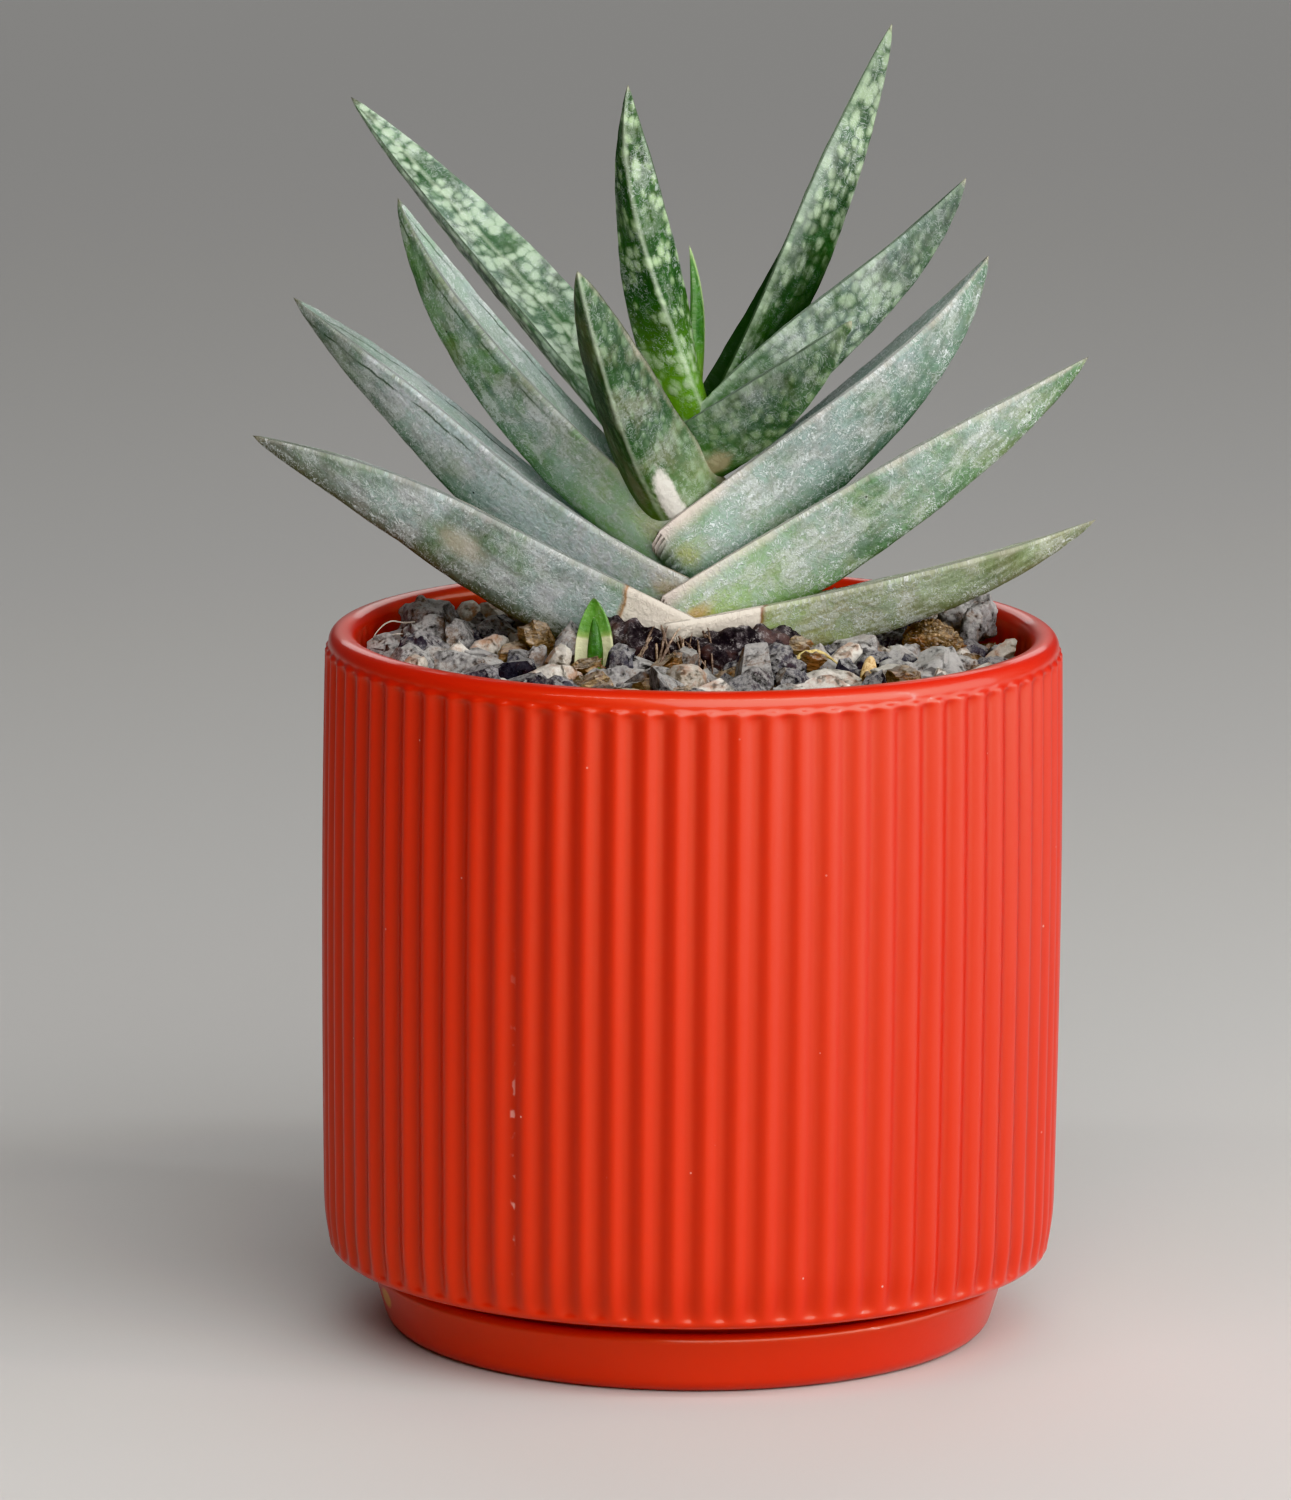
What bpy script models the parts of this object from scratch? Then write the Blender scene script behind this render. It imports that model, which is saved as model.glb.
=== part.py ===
"""Potted gasteria: a keeled-leaf succulent in gravelly mix, in a fluted pot on a saucer.

The origin is the centre of the saucer's underside, +Z is up and the plant's flat
fan of leaves spreads along X, with its face towards -Y.  Sizes below are in
millimetres and turned into metres by MM when a mesh is made.
"""

import math
from dataclasses import dataclass

import bmesh
import bpy
from mathutils import Matrix, Vector, noise

MM = 0.001
GAP = 0.3  # left between two pieces that touch
CLEARANCE = 0.34  # taken from a piece round the one that it fits

# Saucer: a shallow flared dish with a flat underside.
SAUCER_HEIGHT = 10.2
SAUCER_RIM_RADIUS = 51.8
SAUCER_FOOT_RADIUS = 50.0
SAUCER_WALL = 2.6
SAUCER_FLOOR = 3.0
SAUCER_EDGE = 3.2
SAUCER_FLARE = 3.0  # how far the inner floor's edge lies inside the foot's radius
SAUCER_STEPS = 56

# Pot: a slightly barrelled cylinder with upright ribs and a rounded shoulder at its foot.
POT_RADIUS = 60.4
POT_HEIGHT = 115.4
POT_WALL = 5.1
LIP_RADIUS = 59.9
SHOULDER_RADIUS = 1.8
SHOULDER_TOP = 14.5
BELLY_HEIGHT = 72.0
FOOT_RADIUS = 44.0
FOOT_WIDTH = 6.0
FLOOR_UNDERSIDE = 5.6
FLOOR_TOP = 10.0
DRAIN_RADIUS = 6.0
INNER_CORNER = 17.0  # the slope between the inner wall and the floor
RIB_COUNT = 76
GROOVE_TOP = 112.6
GROOVE_DEPTH = 0.95
GROOVE_HALF_WIDTH = 1.05
GROOVE_MOUTH = 1.3  # how much wider the groove's cutter is above the surface
GROOVE_CREST = 0.35  # how far the groove's cutter stands out of the surface
GROOVE_END_RUN = 1.6
GROOVE_END_SHARE = 0.05
SHOULDER_GROOVE_END = 50.0  # degrees round the shoulder

# Mix: it fills the pot to a few millimetres under the lip.
MIX_EDGE_HEIGHT = 108.6
MIX_CROWN = 3.2
MIX_ROUGHNESS = 0.8
MIX_GRAIN = 0.11  # noise cells per millimetre
MIX_COLUMNS = 36
MIX_SHARES = (1.0, 0.84, 0.68, 0.52, 0.36, 0.18)
CROWN_HOLLOW_RADIUS = 11.0  # the leaf bases stand in a hollow of the mix
CROWN_HOLLOW_FLOOR = 104.5
CROWN_HOLLOW_COLUMNS = 20

# Stem: the short axis that carries every leaf.
STEM_AXIS = (-2.0, 2.0)
STEM_BOTTOM = 95.0
STEM_TOP = 152.5
STEM_RADIUS = 5.0
STEM_TIP_RADIUS = 1.6
STEM_COLUMNS = 14
STEM_SHARES = (0.0, 0.3, 0.6, 0.85, 1.0)
STEM_TAPER = 1.4

# Leaf: how the section changes from the sheathing base to the blade.
SHEATH_REACH = 24.0
SHEATH_WALL = 2.0
MARGIN_THICKNESS = 1.1
LEAF_RINGS = 10
ROUND_SECTION = 2.3
KEELED_SECTION = 1.35
TAPER_POWER = 2.5  # a high power keeps the blade wide until near its tip
TAPER_ROUNDING = 0.85
NARROW_BASE = 0.92  # width at the base as a share of the full width
NARROW_REACH = 0.3  # share of the length over which it widens
SHEATH_DEPTH = 0.95
THINNEST_SHEATH = 0.3
BLADE_HOLLOW = 0.16  # depth of the upper face's hollow as a share of the blade's
HOLLOW_REACH = 1.3
LEAF_TOP = (-0.88, -0.5, 0.0, 0.5, 0.88)
LEAF_BACK = (1.0, 0.8, 0.42, 0.0, -0.42, -0.8, -1.0)


@dataclass(frozen=True)
class Leaf:
    """One leaf; lengths in millimetres, angles in degrees."""

    name: str
    azimuth: float  # direction it leans to: 0 along +X, 90 along +Y
    height: float  # where its two margins cross the stem's axis
    rise: tuple  # slope above the horizontal at base, middle and tip
    length: float  # from the stem's axis to the tip
    width: float  # across the margins of the blade
    depth: float  # from the margins down to the keel
    clasp: float  # half the width of the sheathing base
    heel: float  # how far the base runs past the stem's axis
    roll: tuple = (0, 0)  # turn about its own length, at base and tip
    skin: str = "frosted_leaf"


# From the oldest, outermost leaf to the youngest.
LEAVES = (
    Leaf("leaf_right_lowest", -4, 115.5, (9, 16, 22), 69.5, 14, 8, 13, 3, (-8, -8)),
    Leaf("leaf_left_lowest", 182, 117, (27, 28, 8), 76, 17, 13, 13, 2, (12, 8)),
    Leaf("leaf_right_low", 0, 122, (33, 31, 26), 76, 18, 12, 12.2, 5, (-12, -8)),
    Leaf("leaf_left_low", 180, 124.5, (26, 41, 30), 77, 17, 12, 11.4, 5, (10, 0)),
    Leaf("leaf_right_middle", 2, 134, (40, 38, 47), 65, 17, 13, 10.6, 8, (-12, 4)),
    Leaf("leaf_left_middle", 178, 134, (40, 47, 56), 69, 16, 11.5, 9.8, 5, (6, -8)),
    Leaf("leaf_front_left", -122, 138, (42, 52, 56), 51, 13, 10, 8.5, 4),
    Leaf("leaf_front_right", -42, 147, (30, 32, 34), 42, 12, 10, 7.5, 4, (0, 0), "spotted_leaf"),
    Leaf("leaf_back_left", 150, 143, (45, 41, 36), 84, 14, 9, 6.5, 4, (-15, -15), "spotted_leaf"),
    Leaf("leaf_right_upper", -2, 147.5, (48, 38, 44), 61, 13, 10, 5.5, 3, (-12, -12), "spotted_leaf"),
    Leaf("leaf_right_top", 6, 149, (60, 65, 63), 72.5, 12, 9, 4.8, 3, (6, -4), "spotted_leaf"),
    Leaf("leaf_centre", -140, 150, (73, 78, 84), 56, 12, 7, 4.5, 3, (70, 15), "spotted_leaf"),
    Leaf("leaf_heart", 0, 152, (86, 88, 92), 26, 4, 3.5, 2.2, 1, (0, 0), "bright_leaf"),
)

# A young offset beside the plant: an open outer leaf round a smaller inner one.
PUP_OUTER = Leaf("pup_outer_leaf", 80, 109.5, (74, 84, 100), 13, 6.4, 3.4, 3.2, 0, (0, 0), "bright_leaf")
PUP_INNER = Leaf("pup_inner_leaf", -60, 109.5, (86, 88, 90), 9, 3.0, 2.4, 1.2, 0, (0, 0), "bright_leaf")
PUP_SHEATH = 7.0
PUP_ROOT = (-16.4, -12.5, 109.5)


@dataclass(frozen=True)
class Crust:
    """A crescent of dead leaf base round the foot of the stem."""

    name: str
    start: float  # degrees round the stem's axis
    end: float
    radius: float
    height: float
    thickness: float
    tall: float


CRUST_STEPS = 9
CRUST_CORNERS = 8
CRUST_RAGGEDNESS = 0.22
CRUST_END = 0.06  # where on its swelling curve a crust stops, so that its ends stay blunt
CRUSTS = (
    Crust("dried_base_left", -178, -97, 12.5, 112.5, 5.0, 8.0),
    Crust("dried_base_right", -84, -12, 13.0, 112.0, 5.5, 7.5),
    Crust("dried_base_back", 40, 130, 13.0, 112.0, 4.5, 6.5),
)


@dataclass(frozen=True)
class Stone:
    """One of the larger grains lying in the top of the mix."""

    name: str
    place: tuple  # X and Y of its centre
    height: float  # Z of its centre
    size: tuple  # across X, Y and Z
    turn: tuple  # degrees about X, Y and Z
    kind: str
    seed: int


STONES = (
    Stone("stone_pumice_rim", (45.3, 19.6), 113.0, (8.5, 6, 10), (10, -8, 20), "grey_pumice", 1),
    Stone("stone_slab_right", (45.4, 11.8), 112.2, (3.4, 6.5, 9.5), (0, 12, -14), "grey_pumice", 2),
    Stone("stone_layered_tan", (39.5, 3.6), 111.6, (9.5, 8, 9.5), (6, 10, 24), "tan_bark", 3),
    Stone("stone_dark_right", (31.0, 8.5), 110.6, (10, 8, 7), (0, 0, 30), "dark_lava", 4),
    Stone("stone_right_back", (37.0, 20.0), 110.2, (10, 9, 6), (8, 0, 50), "dark_lava", 5),
    Stone("stone_right_edge", (42.0, -7.5), 110.0, (8, 7, 5), (0, 6, 12), "grey_pumice", 6),
    Stone("stone_front_husk_side", (33.5, -17.0), 110.0, (9, 7, 5.5), (6, 0, 40), "grey_pumice", 7),
    Stone("stone_front_right", (22.0, -23.5), 109.8, (11, 8, 5.5), (0, 4, 8), "pale_grain", 8),
    Stone("stone_front_blue", (11.5, -19.0), 111.0, (11, 8, 7.5), (8, 0, -20), "dark_lava", 9),
    Stone("stone_front_centre", (-1.0, -24.5), 110.0, (9, 8, 6), (0, 8, 30), "grey_pumice", 10),
    Stone("stone_front_left", (-12.0, -24.0), 110.4, (10, 8, 6.5), (5, 0, -12), "grey_pumice", 11),
    Stone("stone_front_left_pale", (-22.5, -23.0), 110.0, (9, 7, 6), (0, 0, 24), "pale_grain", 12),
    Stone("stone_flat_grey", (-34.5, -15.0), 110.6, (15, 9, 7), (4, 0, -18), "grey_pumice", 13),
    Stone("stone_purple_grey", (-42.5, -2.5), 110.8, (9, 8, 7.5), (0, 10, 30), "dark_lava", 14),
    Stone("stone_left_pale", (-33.0, 0.0), 110.6, (8, 7, 6), (0, 0, 60), "pale_grain", 15),
    Stone("stone_left_rough", (-44.0, 10.0), 111.2, (9, 8, 8), (10, 0, 12), "grey_pumice", 16),
    Stone("stone_left_rough_back", (-42.5, 21.0), 111.4, (11, 9, 8), (0, 12, -30), "grey_pumice", 17),
    Stone("stone_left_grey", (-30.5, 12.5), 110.8, (10, 8, 7), (4, 6, 44), "grey_pumice", 18),
    Stone("stone_ochre_bark", (-31.5, 37.0), 111.2, (9, 6, 8), (0, 20, 16), "tan_bark", 19),
    Stone("stone_back_left", (-18.0, 42.0), 110.4, (11, 9, 7), (0, 0, 8), "dark_lava", 20),
    Stone("stone_back_centre", (3.0, 40.0), 110.4, (12, 9, 7), (6, 0, -24), "grey_pumice", 21),
    Stone("stone_back_right", (22.0, 36.0), 110.2, (10, 9, 6), (0, 8, 36), "pale_grain", 22),
)
STONE_JAGGEDNESS = 0.22
STONE_LUMPS = 2.6  # noise cells across a stone
LARGEST_SHELL = 3.0  # limit on how far a sharp corner's clearance reaches
MERGE = 0.00001

COLOURS = {
    "red_glaze": ((0.62, 0.010, 0.008), 0.22),
    "gritty_mix": ((0.055, 0.048, 0.042), 0.95),
    "stem_tissue": ((0.34, 0.27, 0.17), 0.8),
    "frosted_leaf": ((0.20, 0.30, 0.21), 0.5),
    "spotted_leaf": ((0.055, 0.17, 0.055), 0.4),
    "bright_leaf": ((0.20, 0.42, 0.06), 0.4),
    "dried_leaf_base": ((0.11, 0.075, 0.060), 0.95),
    "grey_pumice": ((0.26, 0.26, 0.27), 0.95),
    "dark_lava": ((0.06, 0.06, 0.07), 0.9),
    "tan_bark": ((0.45, 0.31, 0.17), 0.9),
    "pale_grain": ((0.55, 0.50, 0.43), 0.85),
}


def remove_everything():
    """Start from an empty scene."""
    for item in list(bpy.data.objects):
        bpy.data.objects.remove(item, do_unlink=True)


def new_collection(name):
    """A collection linked to the scene."""
    made = bpy.data.collections.new(name)
    bpy.context.scene.collection.children.link(made)
    return made


def new_material(name, colour, roughness):
    """A Principled material of one colour."""
    made = bpy.data.materials.new(name)
    made.use_nodes = True
    shader = made.node_tree.nodes["Principled BSDF"]
    shader.inputs["Base Color"].default_value = (*colour, 1.0)
    shader.inputs["Roughness"].default_value = roughness
    shader.inputs["Metallic"].default_value = 0.0
    made.diffuse_color = (*colour, 1.0)
    return made


def add_object(name, bm, material, collection, sharp_angle=35):
    """Turn millimetre geometry into a smooth-shaded object in metres."""
    bmesh.ops.scale(bm, vec=(MM, MM, MM), verts=bm.verts)
    mesh = bpy.data.meshes.new(name)
    bm.to_mesh(mesh)
    bm.free()
    mesh.shade_smooth()
    mesh.set_sharp_from_angle(angle=math.radians(sharp_angle))
    made = bpy.data.objects.new(name, mesh)
    collection.objects.link(made)
    if material:
        mesh.materials.append(material)
    return made


def as_cutter(item):
    """Mark an object as a guide that is only used to cut others."""
    item.hide_render = True
    item.display_type = "WIRE"
    return item


def subtract(item, cutter):
    """Cut one object with another."""
    cut = item.modifiers.new("cut_" + cutter.name, "BOOLEAN")
    cut.operation = "DIFFERENCE"
    cut.solver = "EXACT"
    cut.object = cutter


def add_clearance(name, bm, cutters):
    """A guide a little larger all round than a piece, which cuts room for it in others."""
    bm.normal_update()
    moves = [vert.normal * CLEARANCE * min(vert.calc_shell_factor(), LARGEST_SHELL) for vert in bm.verts]
    for vert, move in zip(bm.verts, moves):
        vert.co += move
    return as_cutter(add_object(name + "_clearance", bm, None, cutters))


def smooth_step(value):
    """Ease from 0 to 1."""
    value = min(max(value, 0.0), 1.0)
    return value * value * (3.0 - 2.0 * value)


def between(first, last, share):
    """The value that lies a share of the way from first to last."""
    return first + (last - first) * share


def arc(centre, radius, start, end, steps):
    """Points along an arc in the X-Z plane; angles in degrees."""
    points = []
    for step in range(steps + 1):
        angle = math.radians(between(start, end, step / steps))
        points.append((centre[0] + radius * math.cos(angle), centre[1] + radius * math.sin(angle)))
    return points


def circle(radius, columns, height):
    """A ring of points round the Z axis whose Z follows a function of X and Y."""
    points = []
    for column in range(columns):
        angle = math.tau * column / columns
        x = radius * math.cos(angle)
        y = radius * math.sin(angle)
        points.append(Vector((x, y, height(x, y))))
    return points


def loft(rings, close_start=True, close_end=True):
    """Skin between rings of equally many points; a ring of one point is a tip."""
    bm = bmesh.new()
    rows = [[bm.verts.new(point) for point in ring] for ring in rings]
    for row, following in zip(rows, rows[1:]):
        count = max(len(row), len(following))
        for index in range(count):
            after = (index + 1) % count
            if len(following) == 1:
                bm.faces.new((row[index], row[after], following[0]))
            elif len(row) == 1:
                bm.faces.new((row[0], following[after], following[index]))
            else:
                bm.faces.new((row[index], row[after], following[after], following[index]))
    if close_start and len(rows[0]) > 1:
        bm.faces.new(reversed(rows[0]))
    if close_end and len(rows[-1]) > 1:
        bm.faces.new(rows[-1])
    bmesh.ops.recalc_face_normals(bm, faces=bm.faces)
    bmesh.ops.triangulate(bm, faces=bm.faces, quad_method="FIXED", ngon_method="EAR_CLIP")
    return bm


def turned(name, profile, steps, material, collection, closed):
    """A profile in the X-Z plane turned once round the Z axis.

    A closed profile is a ring; an open one starts and ends on the axis.
    """
    bm = bmesh.new()
    verts = [bm.verts.new((x, 0.0, z)) for x, z in profile]
    following = verts[1:] + verts[:1] if closed else verts[1:]
    for first, second in zip(verts, following):
        bm.edges.new((first, second))
    made = add_object(name, bm, material, collection)
    screw = made.modifiers.new("turn", "SCREW")
    screw.axis = "Z"
    screw.angle = math.tau
    screw.steps = steps
    screw.render_steps = steps
    screw.use_merge_vertices = True
    screw.merge_threshold = MERGE
    screw.use_smooth_shade = True
    return made


def saucer_profile():
    """The saucer's section, from its middle up its inside and down its outside."""
    edge_centre = (SAUCER_FOOT_RADIUS - SAUCER_EDGE, SAUCER_EDGE)
    lip_centre = (SAUCER_RIM_RADIUS - SAUCER_WALL / 2, SAUCER_HEIGHT - SAUCER_WALL / 2)
    inside = [
        (0.0, SAUCER_FLOOR),
        (SAUCER_FOOT_RADIUS - SAUCER_FLARE, SAUCER_FLOOR),
        (SAUCER_RIM_RADIUS - SAUCER_WALL, lip_centre[1]),
    ]
    lip = arc(lip_centre, SAUCER_WALL / 2, 90, 0, 2)
    return inside + lip + arc(edge_centre, SAUCER_EDGE, -12, -90, 3) + [(0.0, 0.0)]


def make_saucer(material, collection):
    """A shallow dish with a solid floor."""
    return turned("saucer", saucer_profile(), SAUCER_STEPS, material, collection, closed=False)


def body_radius(height):
    """Outer radius of the ribbed wall, which bellies out a little at mid-height."""
    if height > BELLY_HEIGHT:
        away = (height - BELLY_HEIGHT) / (POT_HEIGHT - BELLY_HEIGHT)
        return between(POT_RADIUS, LIP_RADIUS, away * away)
    away = (BELLY_HEIGHT - height) / (BELLY_HEIGHT - SHOULDER_TOP)
    return between(POT_RADIUS, LIP_RADIUS, away * away)


def shoulder_point(angle, outwards=0.0):
    """A point on the rounded shoulder, a number of degrees below its top."""
    turn = math.radians(angle)
    reach = SHOULDER_RADIUS + outwards
    centre = body_radius(SHOULDER_TOP) - SHOULDER_RADIUS
    return (centre + reach * math.cos(turn), SHOULDER_TOP - reach * math.sin(turn))


def pot_profile():
    """The pot's section, from the lip down its outside and back up its inside."""
    lip_centre = (LIP_RADIUS - POT_WALL / 2, POT_HEIGHT - POT_WALL / 2)
    inner = LIP_RADIUS - POT_WALL
    outline = arc(lip_centre, POT_WALL / 2, 90, 0, 3)
    outline.append((body_radius(BELLY_HEIGHT), BELLY_HEIGHT))
    outline += [shoulder_point(angle) for angle in (0, 30, 60, 86)]
    outline += [
        (FOOT_RADIUS, SHOULDER_TOP - SHOULDER_RADIUS - 0.4),
        (FOOT_RADIUS, SAUCER_FLOOR + GAP),
        (FOOT_RADIUS - FOOT_WIDTH, SAUCER_FLOOR + GAP),
        (FOOT_RADIUS - FOOT_WIDTH, FLOOR_UNDERSIDE),
        (DRAIN_RADIUS, FLOOR_UNDERSIDE),
        (DRAIN_RADIUS, FLOOR_TOP),
        (inner - INNER_CORNER, FLOOR_TOP),
        (inner, FLOOR_TOP + INNER_CORNER),
    ]
    return outline + [(inner, lip_centre[1])]


def groove_path():
    """Where each groove's floor, depth and width run, from top to bottom."""
    stations = [(body_radius(GROOVE_TOP), GROOVE_TOP, 1.0, 0.0, GROOVE_END_SHARE)]
    for height in (GROOVE_TOP - GROOVE_END_RUN, BELLY_HEIGHT, SHOULDER_TOP):
        stations.append((body_radius(height), height, 1.0, 0.0, 1.0))
    radius, height = shoulder_point(SHOULDER_GROOVE_END)
    turn = math.radians(SHOULDER_GROOVE_END)
    stations.append((radius, height, math.cos(turn), -math.sin(turn), GROOVE_END_SHARE))
    return stations


def make_grooves(collection):
    """All the grooves between the ribs, as one set of long narrow wedges."""
    bm = bmesh.new()
    for index in range(RIB_COUNT):
        angle = math.tau * index / RIB_COUNT
        outwards = Vector((math.cos(angle), math.sin(angle), 0.0))
        aside = Vector((-math.sin(angle), math.cos(angle), 0.0))
        rings = []
        for radius, height, out, down, share in groove_path():
            normal = outwards * out + Vector((0.0, 0.0, down))
            centre = outwards * radius + Vector((0.0, 0.0, height))
            half = GROOVE_HALF_WIDTH * GROOVE_MOUTH * share
            floor = centre - normal * GROOVE_DEPTH * share
            crest = centre + normal * GROOVE_CREST
            rings.append([floor, crest + aside * half, crest - aside * half])
        wedge = loft(rings)
        scratch = bpy.data.meshes.new("wedge")
        wedge.to_mesh(scratch)
        wedge.free()
        bm.from_mesh(scratch)
        bpy.data.meshes.remove(scratch)
    return as_cutter(add_object("groove_cutter", bm, None, collection))


def make_pot(material, collection, cutters):
    """The turned body with its ribs left standing between the grooves."""
    made = turned("pot", pot_profile(), RIB_COUNT, material, collection, closed=True)
    subtract(made, make_grooves(cutters))
    return made


def mix_height(x, y):
    """Height of the mix's surface, a low uneven mound."""
    inner = LIP_RADIUS - POT_WALL
    share = min(math.hypot(x, y) / inner, 1.0)
    bump = noise.noise(Vector((x * MIX_GRAIN, y * MIX_GRAIN, 3.7)))
    return MIX_EDGE_HEIGHT + MIX_CROWN * (1.0 - share * share) + MIX_ROUGHNESS * bump


def make_mix(material, collection):
    """The potting mix: it fills the pot's inside from its floor up."""
    inner = LIP_RADIUS - POT_WALL - GAP
    rings = []
    low = FLOOR_TOP + GAP
    for radius, height in ((inner - INNER_CORNER, low), (inner, low + INNER_CORNER)):
        rings.append(circle(radius, MIX_COLUMNS, lambda x, y, level=height: level))
    for share in MIX_SHARES:
        rings.append(circle(inner * share, MIX_COLUMNS, mix_height))
    rings.append([Vector((0.0, 0.0, mix_height(0.0, 0.0)))])
    return add_object("potting_mix", loft(rings), material, collection)


def make_crown_hollow(collection):
    """The hollow that is cut from the mix round the foot of the plant."""
    rings = []
    for radius, height in ((0.7, 0.0), (1.0, 0.3), (1.0, 1.0)):
        level = between(CROWN_HOLLOW_FLOOR, STEM_TOP, height)
        across = CROWN_HOLLOW_RADIUS * radius
        ring = circle(across, CROWN_HOLLOW_COLUMNS, lambda x, y, level=level: level)
        rings.append([point + Vector((*STEM_AXIS, 0.0)) for point in ring])
    return as_cutter(add_object("crown_hollow", loft(rings), None, collection))


def stem_shape():
    """The stem, a slim cone that narrows to the growing point."""
    rings = []
    for share in STEM_SHARES:
        radius = between(STEM_RADIUS, STEM_TIP_RADIUS, share ** STEM_TAPER)
        height = between(STEM_BOTTOM, STEM_TOP, share)
        ring = circle(radius, STEM_COLUMNS, lambda x, y, level=height: level)
        rings.append([point + Vector((*STEM_AXIS, 0.0)) for point in ring])
    return loft(rings)


def slope_at(rise, share):
    """Slope above the horizontal, in degrees, a share of the way along a leaf."""
    base, middle, tip = rise
    if share < 0.5:
        return between(base, middle, max(share, 0.0) * 2.0)
    return between(middle, tip, share * 2.0 - 1.0)


def leaf_axes(leaf, share):
    """Unit vectors along a leaf, across it and out of its upper face."""
    slope = math.radians(slope_at(leaf.rise, share))
    azimuth = math.radians(leaf.azimuth)
    level = math.cos(slope)
    along = Vector((level * math.cos(azimuth), level * math.sin(azimuth), math.sin(slope)))
    across = Vector((-math.sin(azimuth), math.cos(azimuth), 0.0))
    upper = along.cross(across)
    roll = math.radians(between(leaf.roll[0], leaf.roll[1], max(share, 0.0)))
    rolled = across * math.cos(roll) + upper * math.sin(roll)
    return along, rolled, upper * math.cos(roll) - across * math.sin(roll)


def leaf_stations(leaf, root):
    """Points along a leaf's middle with their distance from the stem's axis."""
    start = Vector(root)
    along = leaf_axes(leaf, 0.0)[0]
    stations = [(-leaf.heel, start - along * leaf.heel)] if leaf.heel else []
    stations.append((0.0, start.copy()))
    place = start.copy()
    step = leaf.length / LEAF_RINGS
    for index in range(LEAF_RINGS):
        place = place + leaf_axes(leaf, (index + 0.5) / LEAF_RINGS)[0] * step
        stations.append(((index + 1) * step, place.copy()))
    return stations


def leaf_ring(leaf, distance, centre, reach):
    """The closed section of a leaf: hollow upper face, rounded or keeled back."""
    share = max(distance, 0.0) / leaf.length
    taper = max(1.0 - share ** TAPER_POWER, 0.0) ** TAPER_ROUNDING
    taper *= between(NARROW_BASE, 1.0, min(share / NARROW_REACH, 1.0))
    blade = smooth_step(distance / reach)
    half = between(leaf.clasp, leaf.width / 2 * taper, blade)
    depth = between(leaf.depth * SHEATH_DEPTH, leaf.depth * taper, blade)
    sheath_hollow = max(depth - SHEATH_WALL, depth * THINNEST_SHEATH)
    opened = smooth_step(distance / (reach * HOLLOW_REACH))
    hollow = between(sheath_hollow, depth * BLADE_HOLLOW, opened)
    power = between(ROUND_SECTION, KEELED_SECTION, blade)
    edge = min(MARGIN_THICKNESS * min(taper * 2.0, 1.0), depth * 0.5)
    across, upper = leaf_axes(leaf, share)[1:]
    ring = []
    for side in LEAF_TOP:
        sunk = hollow * (1.0 - abs(side) ** power)
        ring.append(centre + across * half * side - upper * sunk)
    for side in LEAF_BACK:
        sunk = edge + (depth - edge) * (1.0 - abs(side) ** power)
        ring.append(centre + across * half * side - upper * sunk)
    return ring


def leaf_shape(leaf, root, reach):
    """A leaf lofted from its base to its pointed tip."""
    stations = leaf_stations(leaf, root)
    rings = [leaf_ring(leaf, distance, centre, reach) for distance, centre in stations[:-1]]
    rings.append([stations[-1][1]])
    return loft(rings)


def largest_piece(item):
    """Apply an object's cuts and keep only its largest connected piece."""
    evaluated = item.evaluated_get(bpy.context.evaluated_depsgraph_get())
    mesh = bpy.data.meshes.new_from_object(evaluated)
    bm = bmesh.new()
    bm.from_mesh(mesh)
    waiting = set(bm.verts)
    pieces = []
    while waiting:
        piece = {waiting.pop()}
        edge_of = list(piece)
        while edge_of:
            vert = edge_of.pop()
            for edge in vert.link_edges:
                other = edge.other_vert(vert)
                if other not in piece:
                    piece.add(other)
                    edge_of.append(other)
        waiting -= piece
        pieces.append(piece)
    keep = max(pieces, key=len)
    bmesh.ops.delete(bm, geom=[vert for vert in bm.verts if vert not in keep], context="VERTS")
    bm.to_mesh(mesh)
    bm.free()
    item.modifiers.clear()
    item.data = mesh
    return item


def make_leaves(materials, collection, cutters):
    """Every leaf of the plant; each younger one is cut clear of the older ones it meets."""
    add_object("stem", stem_shape(), materials["stem_tissue"], collection)
    clearances = [add_clearance("stem", stem_shape(), cutters)]
    for leaf in LEAVES:
        root = (*STEM_AXIS, leaf.height)
        shape = leaf_shape(leaf, root, SHEATH_REACH)
        item = add_object(leaf.name, shape, materials[leaf.skin], collection)
        for clearance in clearances:
            subtract(item, clearance)
        largest_piece(item)
        clearances.append(add_clearance(leaf.name, leaf_shape(leaf, root, SHEATH_REACH), cutters))
    return clearances


def stone_shape(stone):
    """A broken stone: a rounded lump pushed in and out by noise."""
    bm = bmesh.new()
    bmesh.ops.create_icosphere(bm, subdivisions=2, radius=0.5)
    offset = Vector((stone.seed * 3.1, stone.seed * 1.7, 0.0))
    for vert in bm.verts:
        push = noise.noise(vert.co * STONE_LUMPS + offset) * STONE_JAGGEDNESS
        lump = vert.co * (1.0 + push)
        vert.co = Vector([value * size for value, size in zip(lump, stone.size)])
    for axis, angle in zip("XYZ", stone.turn):
        turn = Matrix.Rotation(math.radians(angle), 3, axis)
        bmesh.ops.rotate(bm, verts=bm.verts, cent=(0, 0, 0), matrix=turn)
    bmesh.ops.translate(bm, verts=bm.verts, vec=(*stone.place, stone.height))
    return bm


def make_stones(materials, collection, cutters):
    """The larger grains, with the clearance that each needs in the mix."""
    clearances = []
    for stone in STONES:
        add_object(stone.name, stone_shape(stone), materials[stone.kind], collection)
        clearances.append(add_clearance(stone.name, stone_shape(stone), cutters))
    return clearances


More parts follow.
